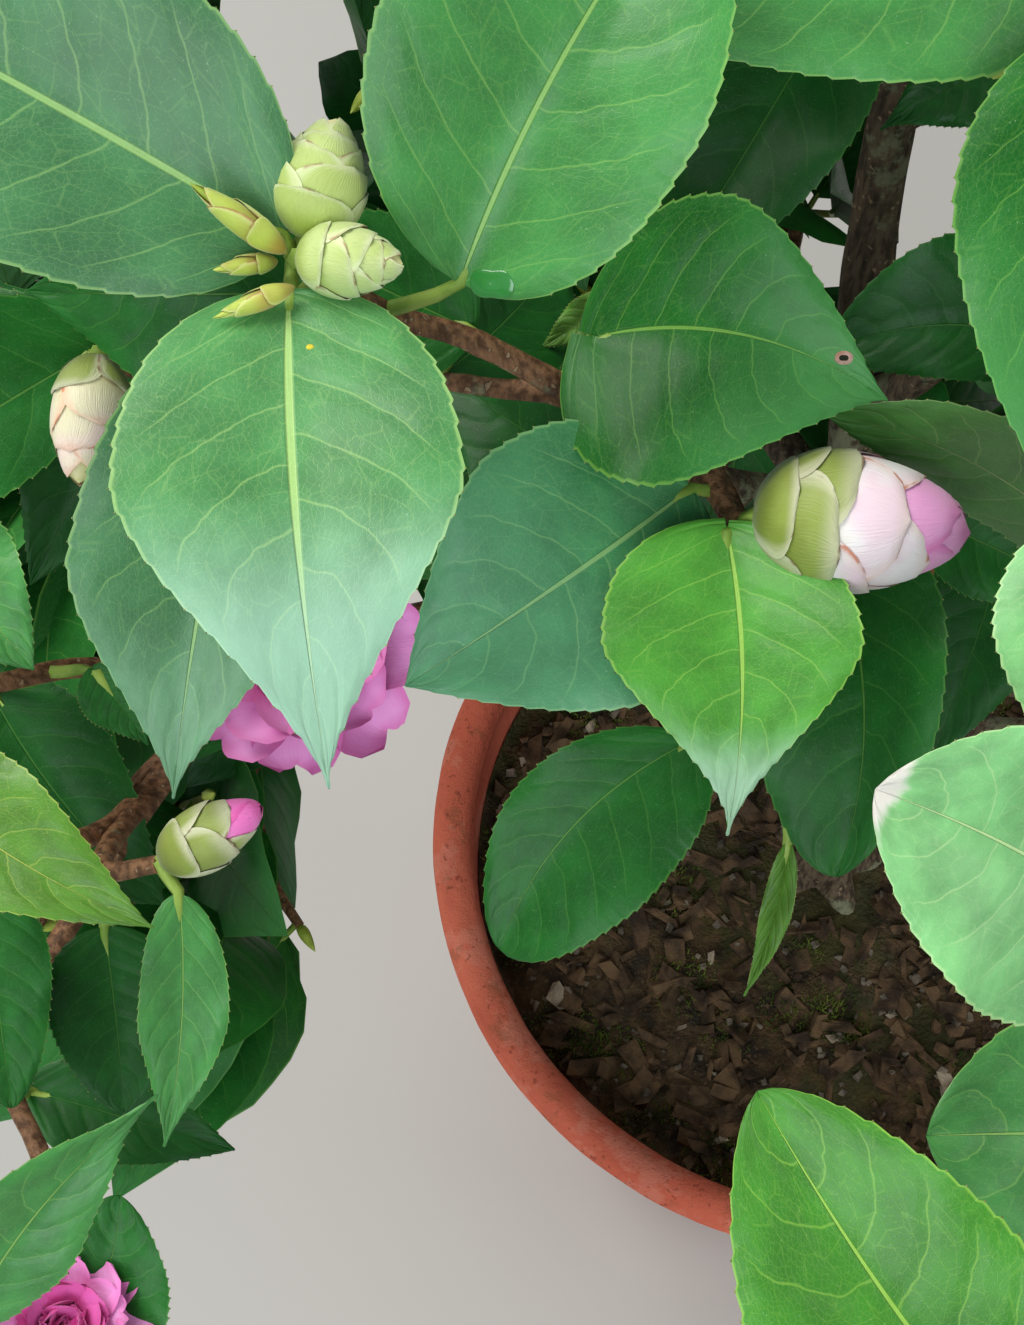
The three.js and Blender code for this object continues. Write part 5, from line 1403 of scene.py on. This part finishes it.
def sheet_piece(name, parts, finishes, crease=70):
    """One piece of foliage from many sheets. Of two finishes, the second is that of their backs."""
    points, quads, side, uvs = zip(*parts)
    first = np.cumsum([0] + [len(own) for own in points])
    quads = [own + number for own, number in zip(quads, first)]
    piece = make_piece(name, np.concatenate(points), np.concatenate(quads), finishes,
                       places=np.concatenate(side) % len(finishes), uvs=np.concatenate(uvs), crease=crease)
    return piece


def blades(leaves, rows, columns, teeth=0, relief=0.0, wave=0.0):
    """The middle surfaces of leaves as grids. The midrib runs from base to tip with a side bow and a
    droop, each half reaches out from it by the leaf's outline and tilts up by the fold, and its lobe
    reaches back past the base. Teeth cut the edge, veins quilt the blade, and the margin waves."""
    def values(key, usual=0):
        """What each leaf says under a key, or else what is usual."""
        return np.array([leaf.get(key, usual) for leaf in leaves])[:, None, None]

    base, out, normal, long, width = (values(key) for key in ("base", "out", "normal", "long", "width"))
    side, lop, lobes, droop = values("side"), values("lop"), values("lobes"), values("droop", 0.08)
    fold, widest, taper = np.radians(values("fold", 14)), values("widest", 0.44), values("taper", 1)
    across = np.cross(normal, out)
    s = np.linspace(0, 1, rows)[None, :, None]
    c = columns_across(columns)[None, None, :]
    reach = np.abs(c)
    half = width / 2 * leaf_half(s, widest, taper) * (1 + np.sign(c) * lop)
    if teeth:
        saw = (s * teeth) % 1 - 0.5
        tooth = TOOTH_HEIGHT * np.minimum(width / 30, 1)
        half = half + tooth * saw * np.clip(np.minimum(s, 1 - s) * 9, 0, 1) * reach ** 6
    half = np.maximum(half, 0.35 * (1 - 0.6 * s))
    bow = 4 * s * (1 - s)
    phase = vein_phase(s, c)
    quilt = relief * np.sin(np.pi * phase) ** 2 * np.clip(reach * 3, 0, 1) * np.clip((1 - reach) * 4, 0, 1)
    groove = -1.4 * relief * np.exp(-(reach / 0.1) ** 2)
    ripple = wave * np.sin(s * 17 + c * 1.3 + base[..., 0] * 1.7) * reach ** 3 * bow
    rise_up = half * np.sin(fold) * (1.25 * reach - 0.25 * reach ** 3) + quilt + groove + ripple
    run = long * s - lobes * long * (1 - s) ** 2 * (1 + np.sign(c) * lop) * reach
    shift = side * long * bow + c * half * np.cos(fold)
    lift = droop * long * bow + rise_up
    return base + out * run[..., None] + across * shift[..., None] + normal * lift[..., None]


# The marks of a leaf, from the place across the blade, -1 to 1, and along it, 0 to 1
leaf_marks, marks_in, marks_out = new_group(
    "leaf_marks", {"Across": "Float", "Along": "Float", "Midrib": "Float"},
    {"Rib": "Float", "Veins": "Float", "Net": "Float", "Rim": "Float", "Relief": "Float", "Cloud": "Float",
     "Tipward": "Float", "Dust": "Float"})
mark_across, mark_along = marks_in.outputs["Across"], marks_in.outputs["Along"]
mark_reach = calc(leaf_marks, "ABSOLUTE", mark_across)
mark_side = calc(leaf_marks, "GREATER_THAN", mark_across, 0.0)
blade_place = add(leaf_marks, "ShaderNodeCombineXYZ", {
    0: calc(leaf_marks, "MULTIPLY", mark_across, 0.3), 1: mark_along}).outputs[0]
wander = calc(leaf_marks, "MULTIPLY_ADD", mottle(leaf_marks, blade_place, 9.0, 2.0), 0.05, -0.025)
bowed = calc(leaf_marks, "MULTIPLY_ADD", calc(leaf_marks, "POWER", mark_reach, 1.4), -VEIN_RISE, mark_along)
phase = calc(leaf_marks, "MULTIPLY_ADD", calc(leaf_marks, "ADD", bowed, wander), VEINS,
             calc(leaf_marks, "MULTIPLY", mark_side, 0.5))
from_vein = calc(leaf_marks, "PINGPONG", phase, 0.5)
inner = rise(leaf_marks, mark_reach, 0.93, 0.72)
loop_place = add(leaf_marks, "ShaderNodeCombineXYZ", {
    0: calc(leaf_marks, "MULTIPLY", mark_across, 0.42),
    1: calc(leaf_marks, "ADD", bowed, mark_side)}).outputs[0]
loop_edge = add(leaf_marks, "ShaderNodeTexVoronoi", {"Vector": loop_place, "Scale": 13.0, "Randomness": 0.8},
                feature="DISTANCE_TO_EDGE").outputs["Distance"]
loops = calc(leaf_marks, "MULTIPLY", rise(leaf_marks, loop_edge, 0.028, 0.0), 0.36)
veins = calc(leaf_marks, "MULTIPLY", rise(leaf_marks, from_vein, 0.034, 0.0), inner)
veins = calc(leaf_marks, "MAXIMUM", veins, loops)
narrowing = calc(leaf_marks, "MULTIPLY_ADD", mark_along, -0.6, 1.0)
rib_width = calc(leaf_marks, "MULTIPLY", marks_in.outputs["Midrib"], narrowing)
rib = rise(leaf_marks, calc(leaf_marks, "DIVIDE", mark_reach, rib_width), 1.0, 0.45)
net_edge = add(leaf_marks, "ShaderNodeTexVoronoi", {"Vector": blade_place, "Scale": 78.0},
               feature="DISTANCE_TO_EDGE").outputs["Distance"]
net = rise(leaf_marks, net_edge, 0.09, 0.0)
rim = rise(leaf_marks, mark_reach, 0.968, 0.99)
swell = calc(leaf_marks, "MULTIPLY", rise(leaf_marks, from_vein, 0.0, 0.3), inner)
relief = calc(leaf_marks, "MULTIPLY_ADD", net, -0.03, calc(leaf_marks, "MULTIPLY", swell, 0.28))
relief = calc(leaf_marks, "MULTIPLY_ADD", rib, -0.5, relief)
cloud = mottle(leaf_marks, blade_place, 5.0, 3.0)
tipward = calc(leaf_marks, "MULTIPLY_ADD", cloud, 0.16, calc(leaf_marks, "ADD", mark_along, -0.08))
dust = rise(leaf_marks, mottle(leaf_marks, blade_place, 190.0, 1.0), 0.7, 0.76)
for label, socket in {"Rib": rib, "Veins": veins, "Net": net, "Rim": rim, "Relief": relief,
                      "Cloud": cloud, "Tipward": tipward, "Dust": dust}.items():
    leaf_marks.links.new(socket, marks_out.inputs[label])


def sheet_place(tree):
    """The place across a sheet, -1 to 1, and along it, 0 to 1, alike on its face and its back."""
    split = add(tree, "ShaderNodeSeparateXYZ", {0: add(tree, "ShaderNodeUVMap", uv_map="OFBake").outputs[0]})
    inside = calc(tree, "MODULO", split.outputs["X"], MAP_STEP)
    across = calc(tree, "MULTIPLY_ADD", inside, 2 / MAP_WIDTH, -1 - 2 * MAP_MARGIN / MAP_WIDTH)
    along = calc(tree, "MULTIPLY_ADD", split.outputs["Y"], 1 / MAP_HEIGHT, -MAP_MARGIN / MAP_HEIGHT)
    return across, along


def marks_on(tree, tint):
    """The marks at each place on a leaf of this tint."""
    across, along = sheet_place(tree)
    node = add(tree, "ShaderNodeGroup", node_tree=leaf_marks)
    tree.links.new(across, node.inputs["Across"])
    tree.links.new(along, node.inputs["Along"])
    node.inputs["Midrib"].default_value = BROAD_MIDRIBS.get(tint, MIDRIB)
    return node.outputs


def leaf_face_finish(tint):
    blade, vein = LEAF_PAINTS[tint]
    gloss = 0.18 if tint in DARK_TINTS else 0.36
    finish, tree, shader = new_finish(f"leaf_face_{tint}", {
        "Specular IOR Level": gloss, "Coat Weight": 0.06, "Coat Roughness": 0.25})
    marks = marks_on(tree, tint)
    films = [(marks["Net"], 0.11, vein), (marks["Veins"], 0.38, vein), (marks["Rib"], 0.85, vein),
             (marks["Rim"], 0.55, vein)]
    # Towards the tip: painted sheen, with real wax on fresh and bright leaves, painted light on gloss leaves
    # and a whitish dead tip on pale ones.
    if tint in TIP_SHEEN_AND_WAX:
        start, full, share, sheen_and_wax = TIP_SHEEN_AND_WAX[tint]
        films.append((rise(tree, marks["Tipward"], start, full), share, sheen_and_wax))
    films.append((marks["Dust"], 0.2, (206, 222, 206)))
    shade = tuple(value * 0.82 for value in blade)
    colour = blend(tree, rise(tree, marks["Cloud"], 0.3, 0.7), paint(*shade), paint(*blade))
    colour = laid_over(tree, colour, *films)
    rough = calc(tree, "MULTIPLY_ADD", marks["Cloud"], 0.16, 0.3)
    join_up(tree, {"Base Color": colour, "Roughness": rough}, shader, marks["Relief"], 0.0004)
    return finish


def leaf_back_finish(tint):
    blade, vein = LEAF_PAINTS[tint]
    pale = tuple(value * 0.72 + 48 for value in blade)
    finish, tree, shader = new_finish(f"leaf_back_{tint}", {"Roughness": 0.62, "Specular IOR Level": 0.35})
    marks = marks_on(tree, tint)
    colour = laid_over(tree, paint(*pale), (marks["Net"], 0.25, vein), (marks["Veins"], 0.5, vein),
                       (marks["Rib"], 0.9, vein))
    join_up(tree, {"Base Color": colour}, shader, marks["Relief"], 0.0005, raised=False)
    return finish


tooth_tips = []
leaf_nodes = ["spray_" + name for name in SPRAYS] + ["foliage_" + name for name in MASS_CENTRES]
for tint in LEAF_PAINTS:
    own = []
    front = [leaf for leaf in front_leaves if leaf["tint"] == tint]
    if front:
        grid = blades(front, HERO_ROWS, HERO_COLUMNS, TEETH, relief=HERO_RELIEF, wave=HERO_WAVE)
        tooth_tips += [grid[:, 11:-8:6, side].reshape(-1, 3) for side in (0, -1)]
        own.append(sheets(grid, LEAF_THICKNESS))
    behind = [leaf for leaf in mass_leaves if leaf["tint"] == tint]
    if behind:
        own.append(sheets(blades(behind, RULE_ROWS, RULE_COLUMNS, wave=RULE_WAVE), LEAF_THICKNESS))
    piece = sheet_piece(f"leaves_{tint}", own, [leaf_face_finish(tint), leaf_back_finish(tint)], crease=60)
    if tint == "green":
        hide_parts(*leaf_nodes)

# Glands and marks on the front leaves
# Each tooth ends in a tiny corky gland. One leaf has a healed brown ring with a dark disc of painted
# shade in it for the hole, one a yellow speck on its face, and a drop of water lies at the foot of another.

GLAND_RADIUS = 0.17
OCTAHEDRON = np.array([(1, 0, 0), (0, 1, 0), (-1, 0, 0), (0, -1, 0), (0, 0, 1), (0, 0, -1)], float)
OCTAHEDRON_FACES = np.array([(0, 1, 4), (1, 2, 4), (2, 3, 4), (3, 0, 4),
                             (1, 0, 5), (2, 1, 5), (3, 2, 5), (0, 3, 5)])

tooth_tips = np.concatenate(tooth_tips)
gland_points = (tooth_tips[:, None] + OCTAHEDRON * GLAND_RADIUS).reshape(-1, 3)
gland_faces = OCTAHEDRON_FACES[None] + np.arange(len(tooth_tips))[:, None, None] * len(OCTAHEDRON)
gland_finish = scraps_finish("gland", (92, 100, 46), (166, 168, 106), 0.6)
glands = make_piece("tooth_glands", gland_points, [], [gland_finish], gland_faces, crease=80)


def place_on_leaf(name, px, py):
    """The point of a front leaf's face that shows at a pixel of the photograph, and its normal there."""
    leaf = next(leaf for leaf in front_leaves if leaf["name"] == name)
    grid = blades([leaf], 241, 61, TEETH, relief=HERO_RELIEF, wave=HERO_WAVE)[0]
    along, down = plate_place(grid)
    spot = np.unravel_index(np.argmin((along - px) ** 2 + (down - py) ** 2), along.shape)
    normal = unit(np.cross(np.gradient(grid, axis=0), np.gradient(grid, axis=1)))[spot]
    return grid[spot] + normal * LEAF_THICKNESS / 2, normal


def leaf_dome(name, leaf, place, radius, height, oval, finish):
    """A low dome on a leaf: rings that close in as a circle's arc does, drawn out one way by oval."""
    def dome_radius(share, angle):
        return radius * (1 + oval * np.cos(2 * angle)) * np.sqrt(np.clip(1 - share ** 2, 0, 1))

    foot, normal = place_on_leaf(leaf, *place)
    bundle = Bundle()
    line = Path([foot - normal * 0.15, foot + normal * height / 2, foot + normal * height])
    limb(bundle, line, 8, 24, dome_radius)
    dome = bundle.make(name, finish)


leaf_dome("hole_rim", "upper", (844, 357), 1.3, 0.3, 0.14,
          scraps_finish("cork", (158, 112, 92), (216, 186, 172), 0.7))
# A dark dome of painted shade inside the rim stands for the hole, which is not cut.
leaf_dome("hole", "upper", (844, 357), 0.85, 0.4, 0.24,
          scraps_finish("shade", (20, 26, 14), (40, 44, 28), 0.9))
leaf_dome("speck", "near_left", (309, 348), 0.55, 0.25, 0.1,
          scraps_finish("pollen", (206, 190, 40), (232, 214, 70), 0.8))
leaf_dome("water_drop", "top_middle", (492, 283), 2.9, 0.32, 0.3, new_finish("water_drop", {
    "Base Color": paint(52, 132, 58), "Roughness": 0.16, "Coat Weight": 0.6, "Coat Roughness": 0.1})[0])

# Flower buds
# Fat pointed buds of silky overlapping scales on the shoots' ends. Green when young, the scales turn
# cream as the bud swells, and the pink petals show rolled tight at the tip of one that opens.

SCALE_THICKNESS = 0.11
SCALE_STEP = 0.15
PINK_KINDS = ("young", "opening")

# The layers of each kind of bud, from the outermost in: the piece they go to, how many scales, the
# shares of the bud's length where the first and the last end, and half the angles that these span
BUD_LAYERS = {
    "green": [("bud_scales_green", 12, (0.4, 0.998), (1.3, 2.0))],
    "cream": [("bud_scales_olive", 3, (0.2, 0.36), (1.3, 1.3)),
              ("bud_scales_pale", 9, (0.46, 0.998), (1.2, 2.0))],
    "young": [("bud_scales_olive", 7, (0.4, 0.86), (1.3, 1.3)),
              ("young_petals", 4, (0.985, 0.998), (2.3, 2.8))],
    "opening": [("bud_scales_olive", 6, (0.2, 0.48), (1.3, 1.3)),
                ("bud_scales_cream", 7, (0.56, 0.84), (1.2, 1.2)),
                ("bud_petals", 5, (0.93, 0.998), (1.5, 2.4))],
}

# The skin of each piece: its name, the colours of its foot, middle and margin, its roughness, and what
# else it has
BUD_SKINS = {
    "bud_scales_green": ("green_scale", (150, 172, 62), (194, 210, 132), (228, 232, 190), 0.45,
                         {"dried": (160, 116, 72), "blush": (162, 184, 78)}),
    "bud_scales_olive": ("olive_scale", (112, 126, 38), (146, 162, 70), (232, 226, 200), 0.45,
                         {"dried": (124, 74, 44), "blush": (122, 136, 48), "pale_from": 0.7}),
    "bud_scales_cream": ("cream_scale", (232, 234, 190), (255, 246, 246), (248, 220, 208), 0.42,
                         {"dried": (206, 104, 48), "blush": (252, 204, 222)}),
    "bud_scales_pale": ("pale_scale", (196, 192, 104), (232, 224, 186), (232, 180, 146), 0.42,
                        {"dried": (206, 104, 48), "blush": (246, 206, 212)}),
    "young_petals": ("young_petal", (250, 180, 216), (242, 118, 194), (216, 60, 150), 0.42, {}),
    "bud_petals": ("bud_petal", (255, 228, 244), (255, 176, 228), (236, 100, 184), 0.38, {}),
}


def bud_radius(share, point=0.52):
    """A bud's outline as a share of its greatest radius: fullest just below the middle, and the more
    pointed the greater the power."""
    return np.clip(np.sin(np.pi * np.clip(share, 0, 1) ** 0.82), 0, 1) ** point


def bud_scales(base, tip, radius, first, count, tops, widths, point=0.52):
    """Scales of a bud as grids of points, from the outermost in. Each lies on the bud's outline, a
    step further in than the last and a golden angle round from it. It starts near the base, spans
    an angle that rounds off to a broad end, and ends at its own share of the bud's length."""
    order = np.arange(count)[:, None, None]
    share = order / max(count - 1, 1)
    v = np.linspace(0, 1, 15)[None, :, None]
    u = np.linspace(-1, 1, 11)[None, None, :]
    high = between(tops, share ** 0.65)
    low = np.maximum(high - 0.62, 0.004)
    spot = low + (high - low) * v
    taper = np.sqrt(np.clip(1 - np.clip((v - 0.46) / 0.54, 0, 1) ** 2.5, 0.0009, 1))
    turn = (order + first) * GOLDEN_ANGLE + u * between(widths, share) * taper
    out = (radius - SCALE_STEP * (order + first)) * bud_radius(spot, point) + 0.07 * v ** 8
    along = spot * np.linalg.norm(tip - base) + 0 * turn
    flat = np.stack([out * np.sin(turn), along, out * np.cos(turn)], axis=-1)
    return flat @ swing(unit(tip - base)).T + base


def scale_finish(name, foot, middle, margin, rough, grain_depth, dried=None, blush=None, pale_from=0.86):
    """The skin of a scale or petal: one colour at its foot, another over its middle and a third round
    its margin, a blush in soft patches, and thin strokes where the very edge has dried."""
    finish, tree, shader = new_finish(name, {"Roughness": rough, "Sheen Weight": 0.3, "Sheen Roughness": 0.4})
    across, along = sheet_place(tree)
    reach = calc(tree, "ABSOLUTE", across)
    lengthwise = add(tree, "ShaderNodeCombineXYZ", {0: calc(tree, "MULTIPLY", reach, 8.0), 1: along})
    grain = mottle(tree, lengthwise.outputs[0], 4.0, 3.0)
    place = tree.nodes.new("ShaderNodeTexCoord").outputs["Object"]
    rim = calc(tree, "MAXIMUM", rise(tree, reach, 0.78, 1.0), rise(tree, along, pale_from, 1.0))
    films = [(rim, 0.6, margin)]
    if blush is not None:
        films.insert(0, (rise(tree, mottle(tree, place, 95.0, 2.0), 0.42, 0.66), 0.55, blush))
    if dried is not None:
        edge = calc(tree, "MAXIMUM", rise(tree, reach, 0.93, 0.98), rise(tree, along, 0.96, 0.985))
        strokes = rise(tree, mottle(tree, place, 230.0, 1.0), 0.53, 0.6)
        films.append((calc(tree, "MULTIPLY", edge, strokes), 0.8, dried))
    tone = rise(tree, calc(tree, "MULTIPLY_ADD", grain, 0.3, along), 0.3, 0.85)
    colour = laid_over(tree, blend(tree, tone, paint(*foot), paint(*middle)), *films)
    join_up(tree, {"Base Color": colour}, shader, grain, grain_depth)
    return finish


bud_sheets = {name: [] for name in BUD_SKINS}
bud_cores, bud_hearts = Bundle(), Bundle()
for base, tip, radius, kind in flower_buds:
    first = 0
    for name, count, tops, widths in BUD_LAYERS[kind]:
        scales = bud_scales(base, tip, radius, first, count, tops, widths)
        bud_sheets[name].append(sheets(scales, SCALE_THICKNESS))
        first += count
    inside = 1 - SCALE_STEP * (first + 1) / radius
    core = Path([base, base * 0.5 + tip * 0.5, base * 0.02 + tip * 0.98])
    limb(bud_hearts if kind in PINK_KINDS else bud_cores, core, 16, 14,
         lambda share, angle: radius * inside * bud_radius(share))
for name, (skin, foot, middle, margin, rough, extras) in BUD_SKINS.items():
    sheet_piece(name, bud_sheets[name], [scale_finish(skin, foot, middle, margin, rough, 0.00014, **extras)])
core_finish = scraps_finish("bud_core", (206, 204, 140), (238, 228, 190), 0.6, 0.0001)
core_piece = bud_cores.make("bud_cores", core_finish)
heart_finish = scraps_finish("bud_heart", (226, 104, 176), (246, 150, 208), 0.6, 0.0001)
heart_piece = bud_hearts.make("bud_hearts", heart_finish)

# Blooms
# Double pink blooms, five whorls of soft petals from a flat outer one to a tight upright heart, each
# petal cupped, broad and notched, on a short green cup of scales.

# The whorls from the outermost in: how many petals, their length and width as shares of the bloom's
# radius, and the angles of their foot and end from the flat, in degrees
WHORLS = ((8, 1.06, 0.76, (30, -10)), (7, 0.9, 0.86, (50, 20)), (6, 0.72, 0.74, (66, 40)),
          (6, 0.54, 0.56, (80, 58)), (5, 0.4, 0.42, (88, 80)))
OUTER_WHORLS = 2
PETAL_THICKNESS = 0.5
BLOOM_SEED = 70


def petals(centre, outward, radius, whorl, draw):
    """A whorl of petals as grids. A petal's middle line starts at the foot's angle from the flat and
    bends to the end's, its width swells to a notched end, and its sides curl up towards the axis."""
    count, length, breadth, tilts = whorl
    spin = (np.arange(count) + draw.uniform(-0.15, 0.15, count) + draw.uniform(0, 1)) * 2 * np.pi / count
    v = np.linspace(0, 1, 10)
    u = np.linspace(-1, 1, 9)[None, None, :]
    long = radius * length * draw.uniform(0.92, 1.06, (count, 1))
    tilt = np.radians(between(tilts, v[None]) + draw.normal(0, 5, (count, 1)))
    step = long / (len(v) - 1)
    out, up = (np.pad(np.cumsum(part(tilt[:, 1:]) * step, axis=1), ((0, 0), (1, 0)))[..., None]
               for part in (np.cos, np.sin))
    rounding = np.sqrt(np.clip(1 - (np.clip(v - 0.62, 0, 1) / 0.4) ** 2.6, 0.01, 1))
    shape = rounding * (0.2 + 0.8 * np.sin(np.clip(v / 0.62, 0, 1) * np.pi / 2))
    half = radius * breadth * 0.5 * shape[None, :, None]
    cup = 0.3 * radius * u ** 2 * shape[None, :, None] * (0.4 + 0.6 * v[None, :, None])
    ripple = 0.035 * radius * np.sin(u * 5 + np.arange(count)[:, None, None] * 2.2) * v[None, :, None] ** 2
    notch = 0.05 * radius * np.exp(-(u / 0.25) ** 2) * v[None, :, None] ** 8
    r = out - notch - (cup + ripple) * np.sin(tilt)[..., None] + radius * 0.05
    h = up + (cup + ripple) * np.cos(tilt)[..., None] - radius * 0.24
    w = half * u
    ct, st = np.cos(spin)[:, None, None], np.sin(spin)[:, None, None]
    flat = np.stack([r * ct + w * st, h, r * st - w * ct], axis=-1)
    return flat @ swing(outward).T + centre


outer_petals, heart_petals = [], []
bloom_cups = Bundle()
for order, (centre, outward, radius) in enumerate(blooms):
    draw = np.random.default_rng(BLOOM_SEED + order)
    for k, whorl in enumerate(WHORLS):
        grid = petals(centre, outward, radius, whorl, draw)
        (outer_petals if k < OUTER_WHORLS else heart_petals).append(sheets(grid, PETAL_THICKNESS))
    cup_path = Path([centre - outward * radius * 0.42, centre - outward * radius * 0.3, centre - outward * 2])
    limb(bloom_cups, cup_path, 8, 12,
         lambda share, angle: radius * (0.1 + 0.16 * np.sin(np.pi * np.minimum(share, 0.75))))
sheet_piece("bloom_petals", outer_petals, [scale_finish(
    "lilac_petal", (214, 76, 160), (244, 160, 222), (226, 104, 178), 0.5, 0.0001)])
sheet_piece("bloom_hearts", heart_petals, [scale_finish(
    "magenta_petal", (182, 30, 112), (226, 100, 178), (214, 76, 156), 0.5, 0.0001)])
cups = bloom_cups.make("bloom_cups", scraps_finish("bloom_cup", (108, 122, 56), (160, 170, 96), 0.6))

# Leaf buds
# Every shoot ends in a slim pointed leaf bud, folded from two or three green scales.

LEAF_BUD_LENGTH = 8
FRONT_LEAF_BUDS = (((287, 253, 261), (190, 183, 253), 2.4), ((278, 261, 263), (213, 270, 257), 1.7),
                   ((295, 287, 259), (213, 318, 255), 1.8))
leaf_bud_scales = []
for base, tip, radius in FRONT_LEAF_BUDS:
    grid = bud_scales(at(base), at(tip), radius, 0, 5, (0.42, 0.99), (1.5, 2.2), point=0.8)
    leaf_bud_scales.append(sheets(grid, SCALE_THICKNESS))
sheet_piece("leaf_bud_scales", leaf_bud_scales, [scale_finish(
    "leaf_bud_scale", (158, 150, 54), (190, 206, 84), (222, 222, 150), 0.42, 0.0001, dried=(170, 110, 60),
    blush=(208, 156, 78))])
leaf_buds = Bundle()
pointed = [(place - way * 0.6, place + way * LEAF_BUD_LENGTH, 1.5) for place, way in shoot_tips]
pointed += [(at(base), at(tip), radius * 0.6) for base, tip, radius in FRONT_LEAF_BUDS]
for base, tip, radius in pointed:
    limb(leaf_buds, Path([base, base + (tip - base) * 0.5, tip]), 7, 7,
         lambda share, angle: radius * np.clip(np.sin(np.pi * share ** 0.6), 0, 1) ** 0.8 + 0.06)
bud_finish = scraps_finish("leaf_bud", (146, 168, 52), (204, 218, 104), 0.4, 0.0001)
buds_piece = leaf_buds.make("leaf_buds", bud_finish)

# Floor, camera and light
# A plain pale floor under soft studio light: a large window of light above and behind on the left, a
# cool one low in front, a weak one on the right, and a pale room. The camera looks steeply down.

PLATE_HEIGHT = 1325
SENSOR = 36
FLOOR_REACH = 60000
FLOOR_DROP = 0.6
floor_points = np.array([(-1, -1, 0), (1, -1, 0), (1, 1, 0), (-1, 1, 0)]) * FLOOR_REACH - (0, 0, FLOOR_DROP)
floor_mesh = bpy.data.meshes.new("floor")
floor_mesh.from_pydata([tuple(point * MM) for point in floor_points], [], [(0, 1, 2, 3)])
floor = bpy.data.objects.new("floor", floor_mesh)
bpy.context.scene.collection.objects.link(floor)
floor_mesh.materials.append(new_finish("pale_floor", {
    "Roughness": 0.9, "Base Color": paint(176, 174, 168)})[0])


def softbox(name, place, target, size, power, colour):
    light = bpy.data.lights.new(name, "AREA")
    light.shape = "SQUARE"
    light.size = size
    light.energy = power
    light.color = colour
    lamp = bpy.data.objects.new(name, light)
    back = unit(np.array(place) - np.array(target))
    right = unit(np.cross([0, 0, 1.0], back))
    up = np.cross(back, right)
    lamp.matrix_world = Matrix(np.column_stack([right, up, back, place]).tolist()).to_4x4()
    bpy.context.scene.collection.objects.link(lamp)


softbox("window", (-1.3, 0.9, 2.3), (0, 0, 0.4), 1.6, 60, (1.0, 0.98, 0.94))
softbox("front_window", (-0.5, -1.95, 1.75), (0, 0, 0.4), 1.8, 40, (0.88, 0.94, 1.0))
softbox("side_window", (1.9, -0.2, 1.5), (0, 0, 0.4), 1.2, 13, (1.0, 0.97, 0.94))
room = bpy.data.worlds.new("room")
room.use_nodes = True
room.node_tree.nodes["Background"].inputs["Color"].default_value = (0.80, 0.87, 0.95, 1)
room.node_tree.nodes["Background"].inputs["Strength"].default_value = 0.36
bpy.context.scene.world = room

bpy.context.scene.view_settings.view_transform = "Standard"
camera_data = bpy.data.cameras.new("camera")
camera_data.sensor_fit = "VERTICAL"
camera_data.sensor_height = SENSOR
camera_data.lens = PLATE_DISTANCE / PLATE_HEIGHT * SENSOR
camera_data.clip_start = 0.01
camera = bpy.data.objects.new("camera", camera_data)
camera.location = STATION * MM
camera.rotation_euler = (math.radians(90) - STATION_PITCH, 0, 0)
bpy.context.scene.collection.objects.link(camera)
bpy.context.scene.camera = camera
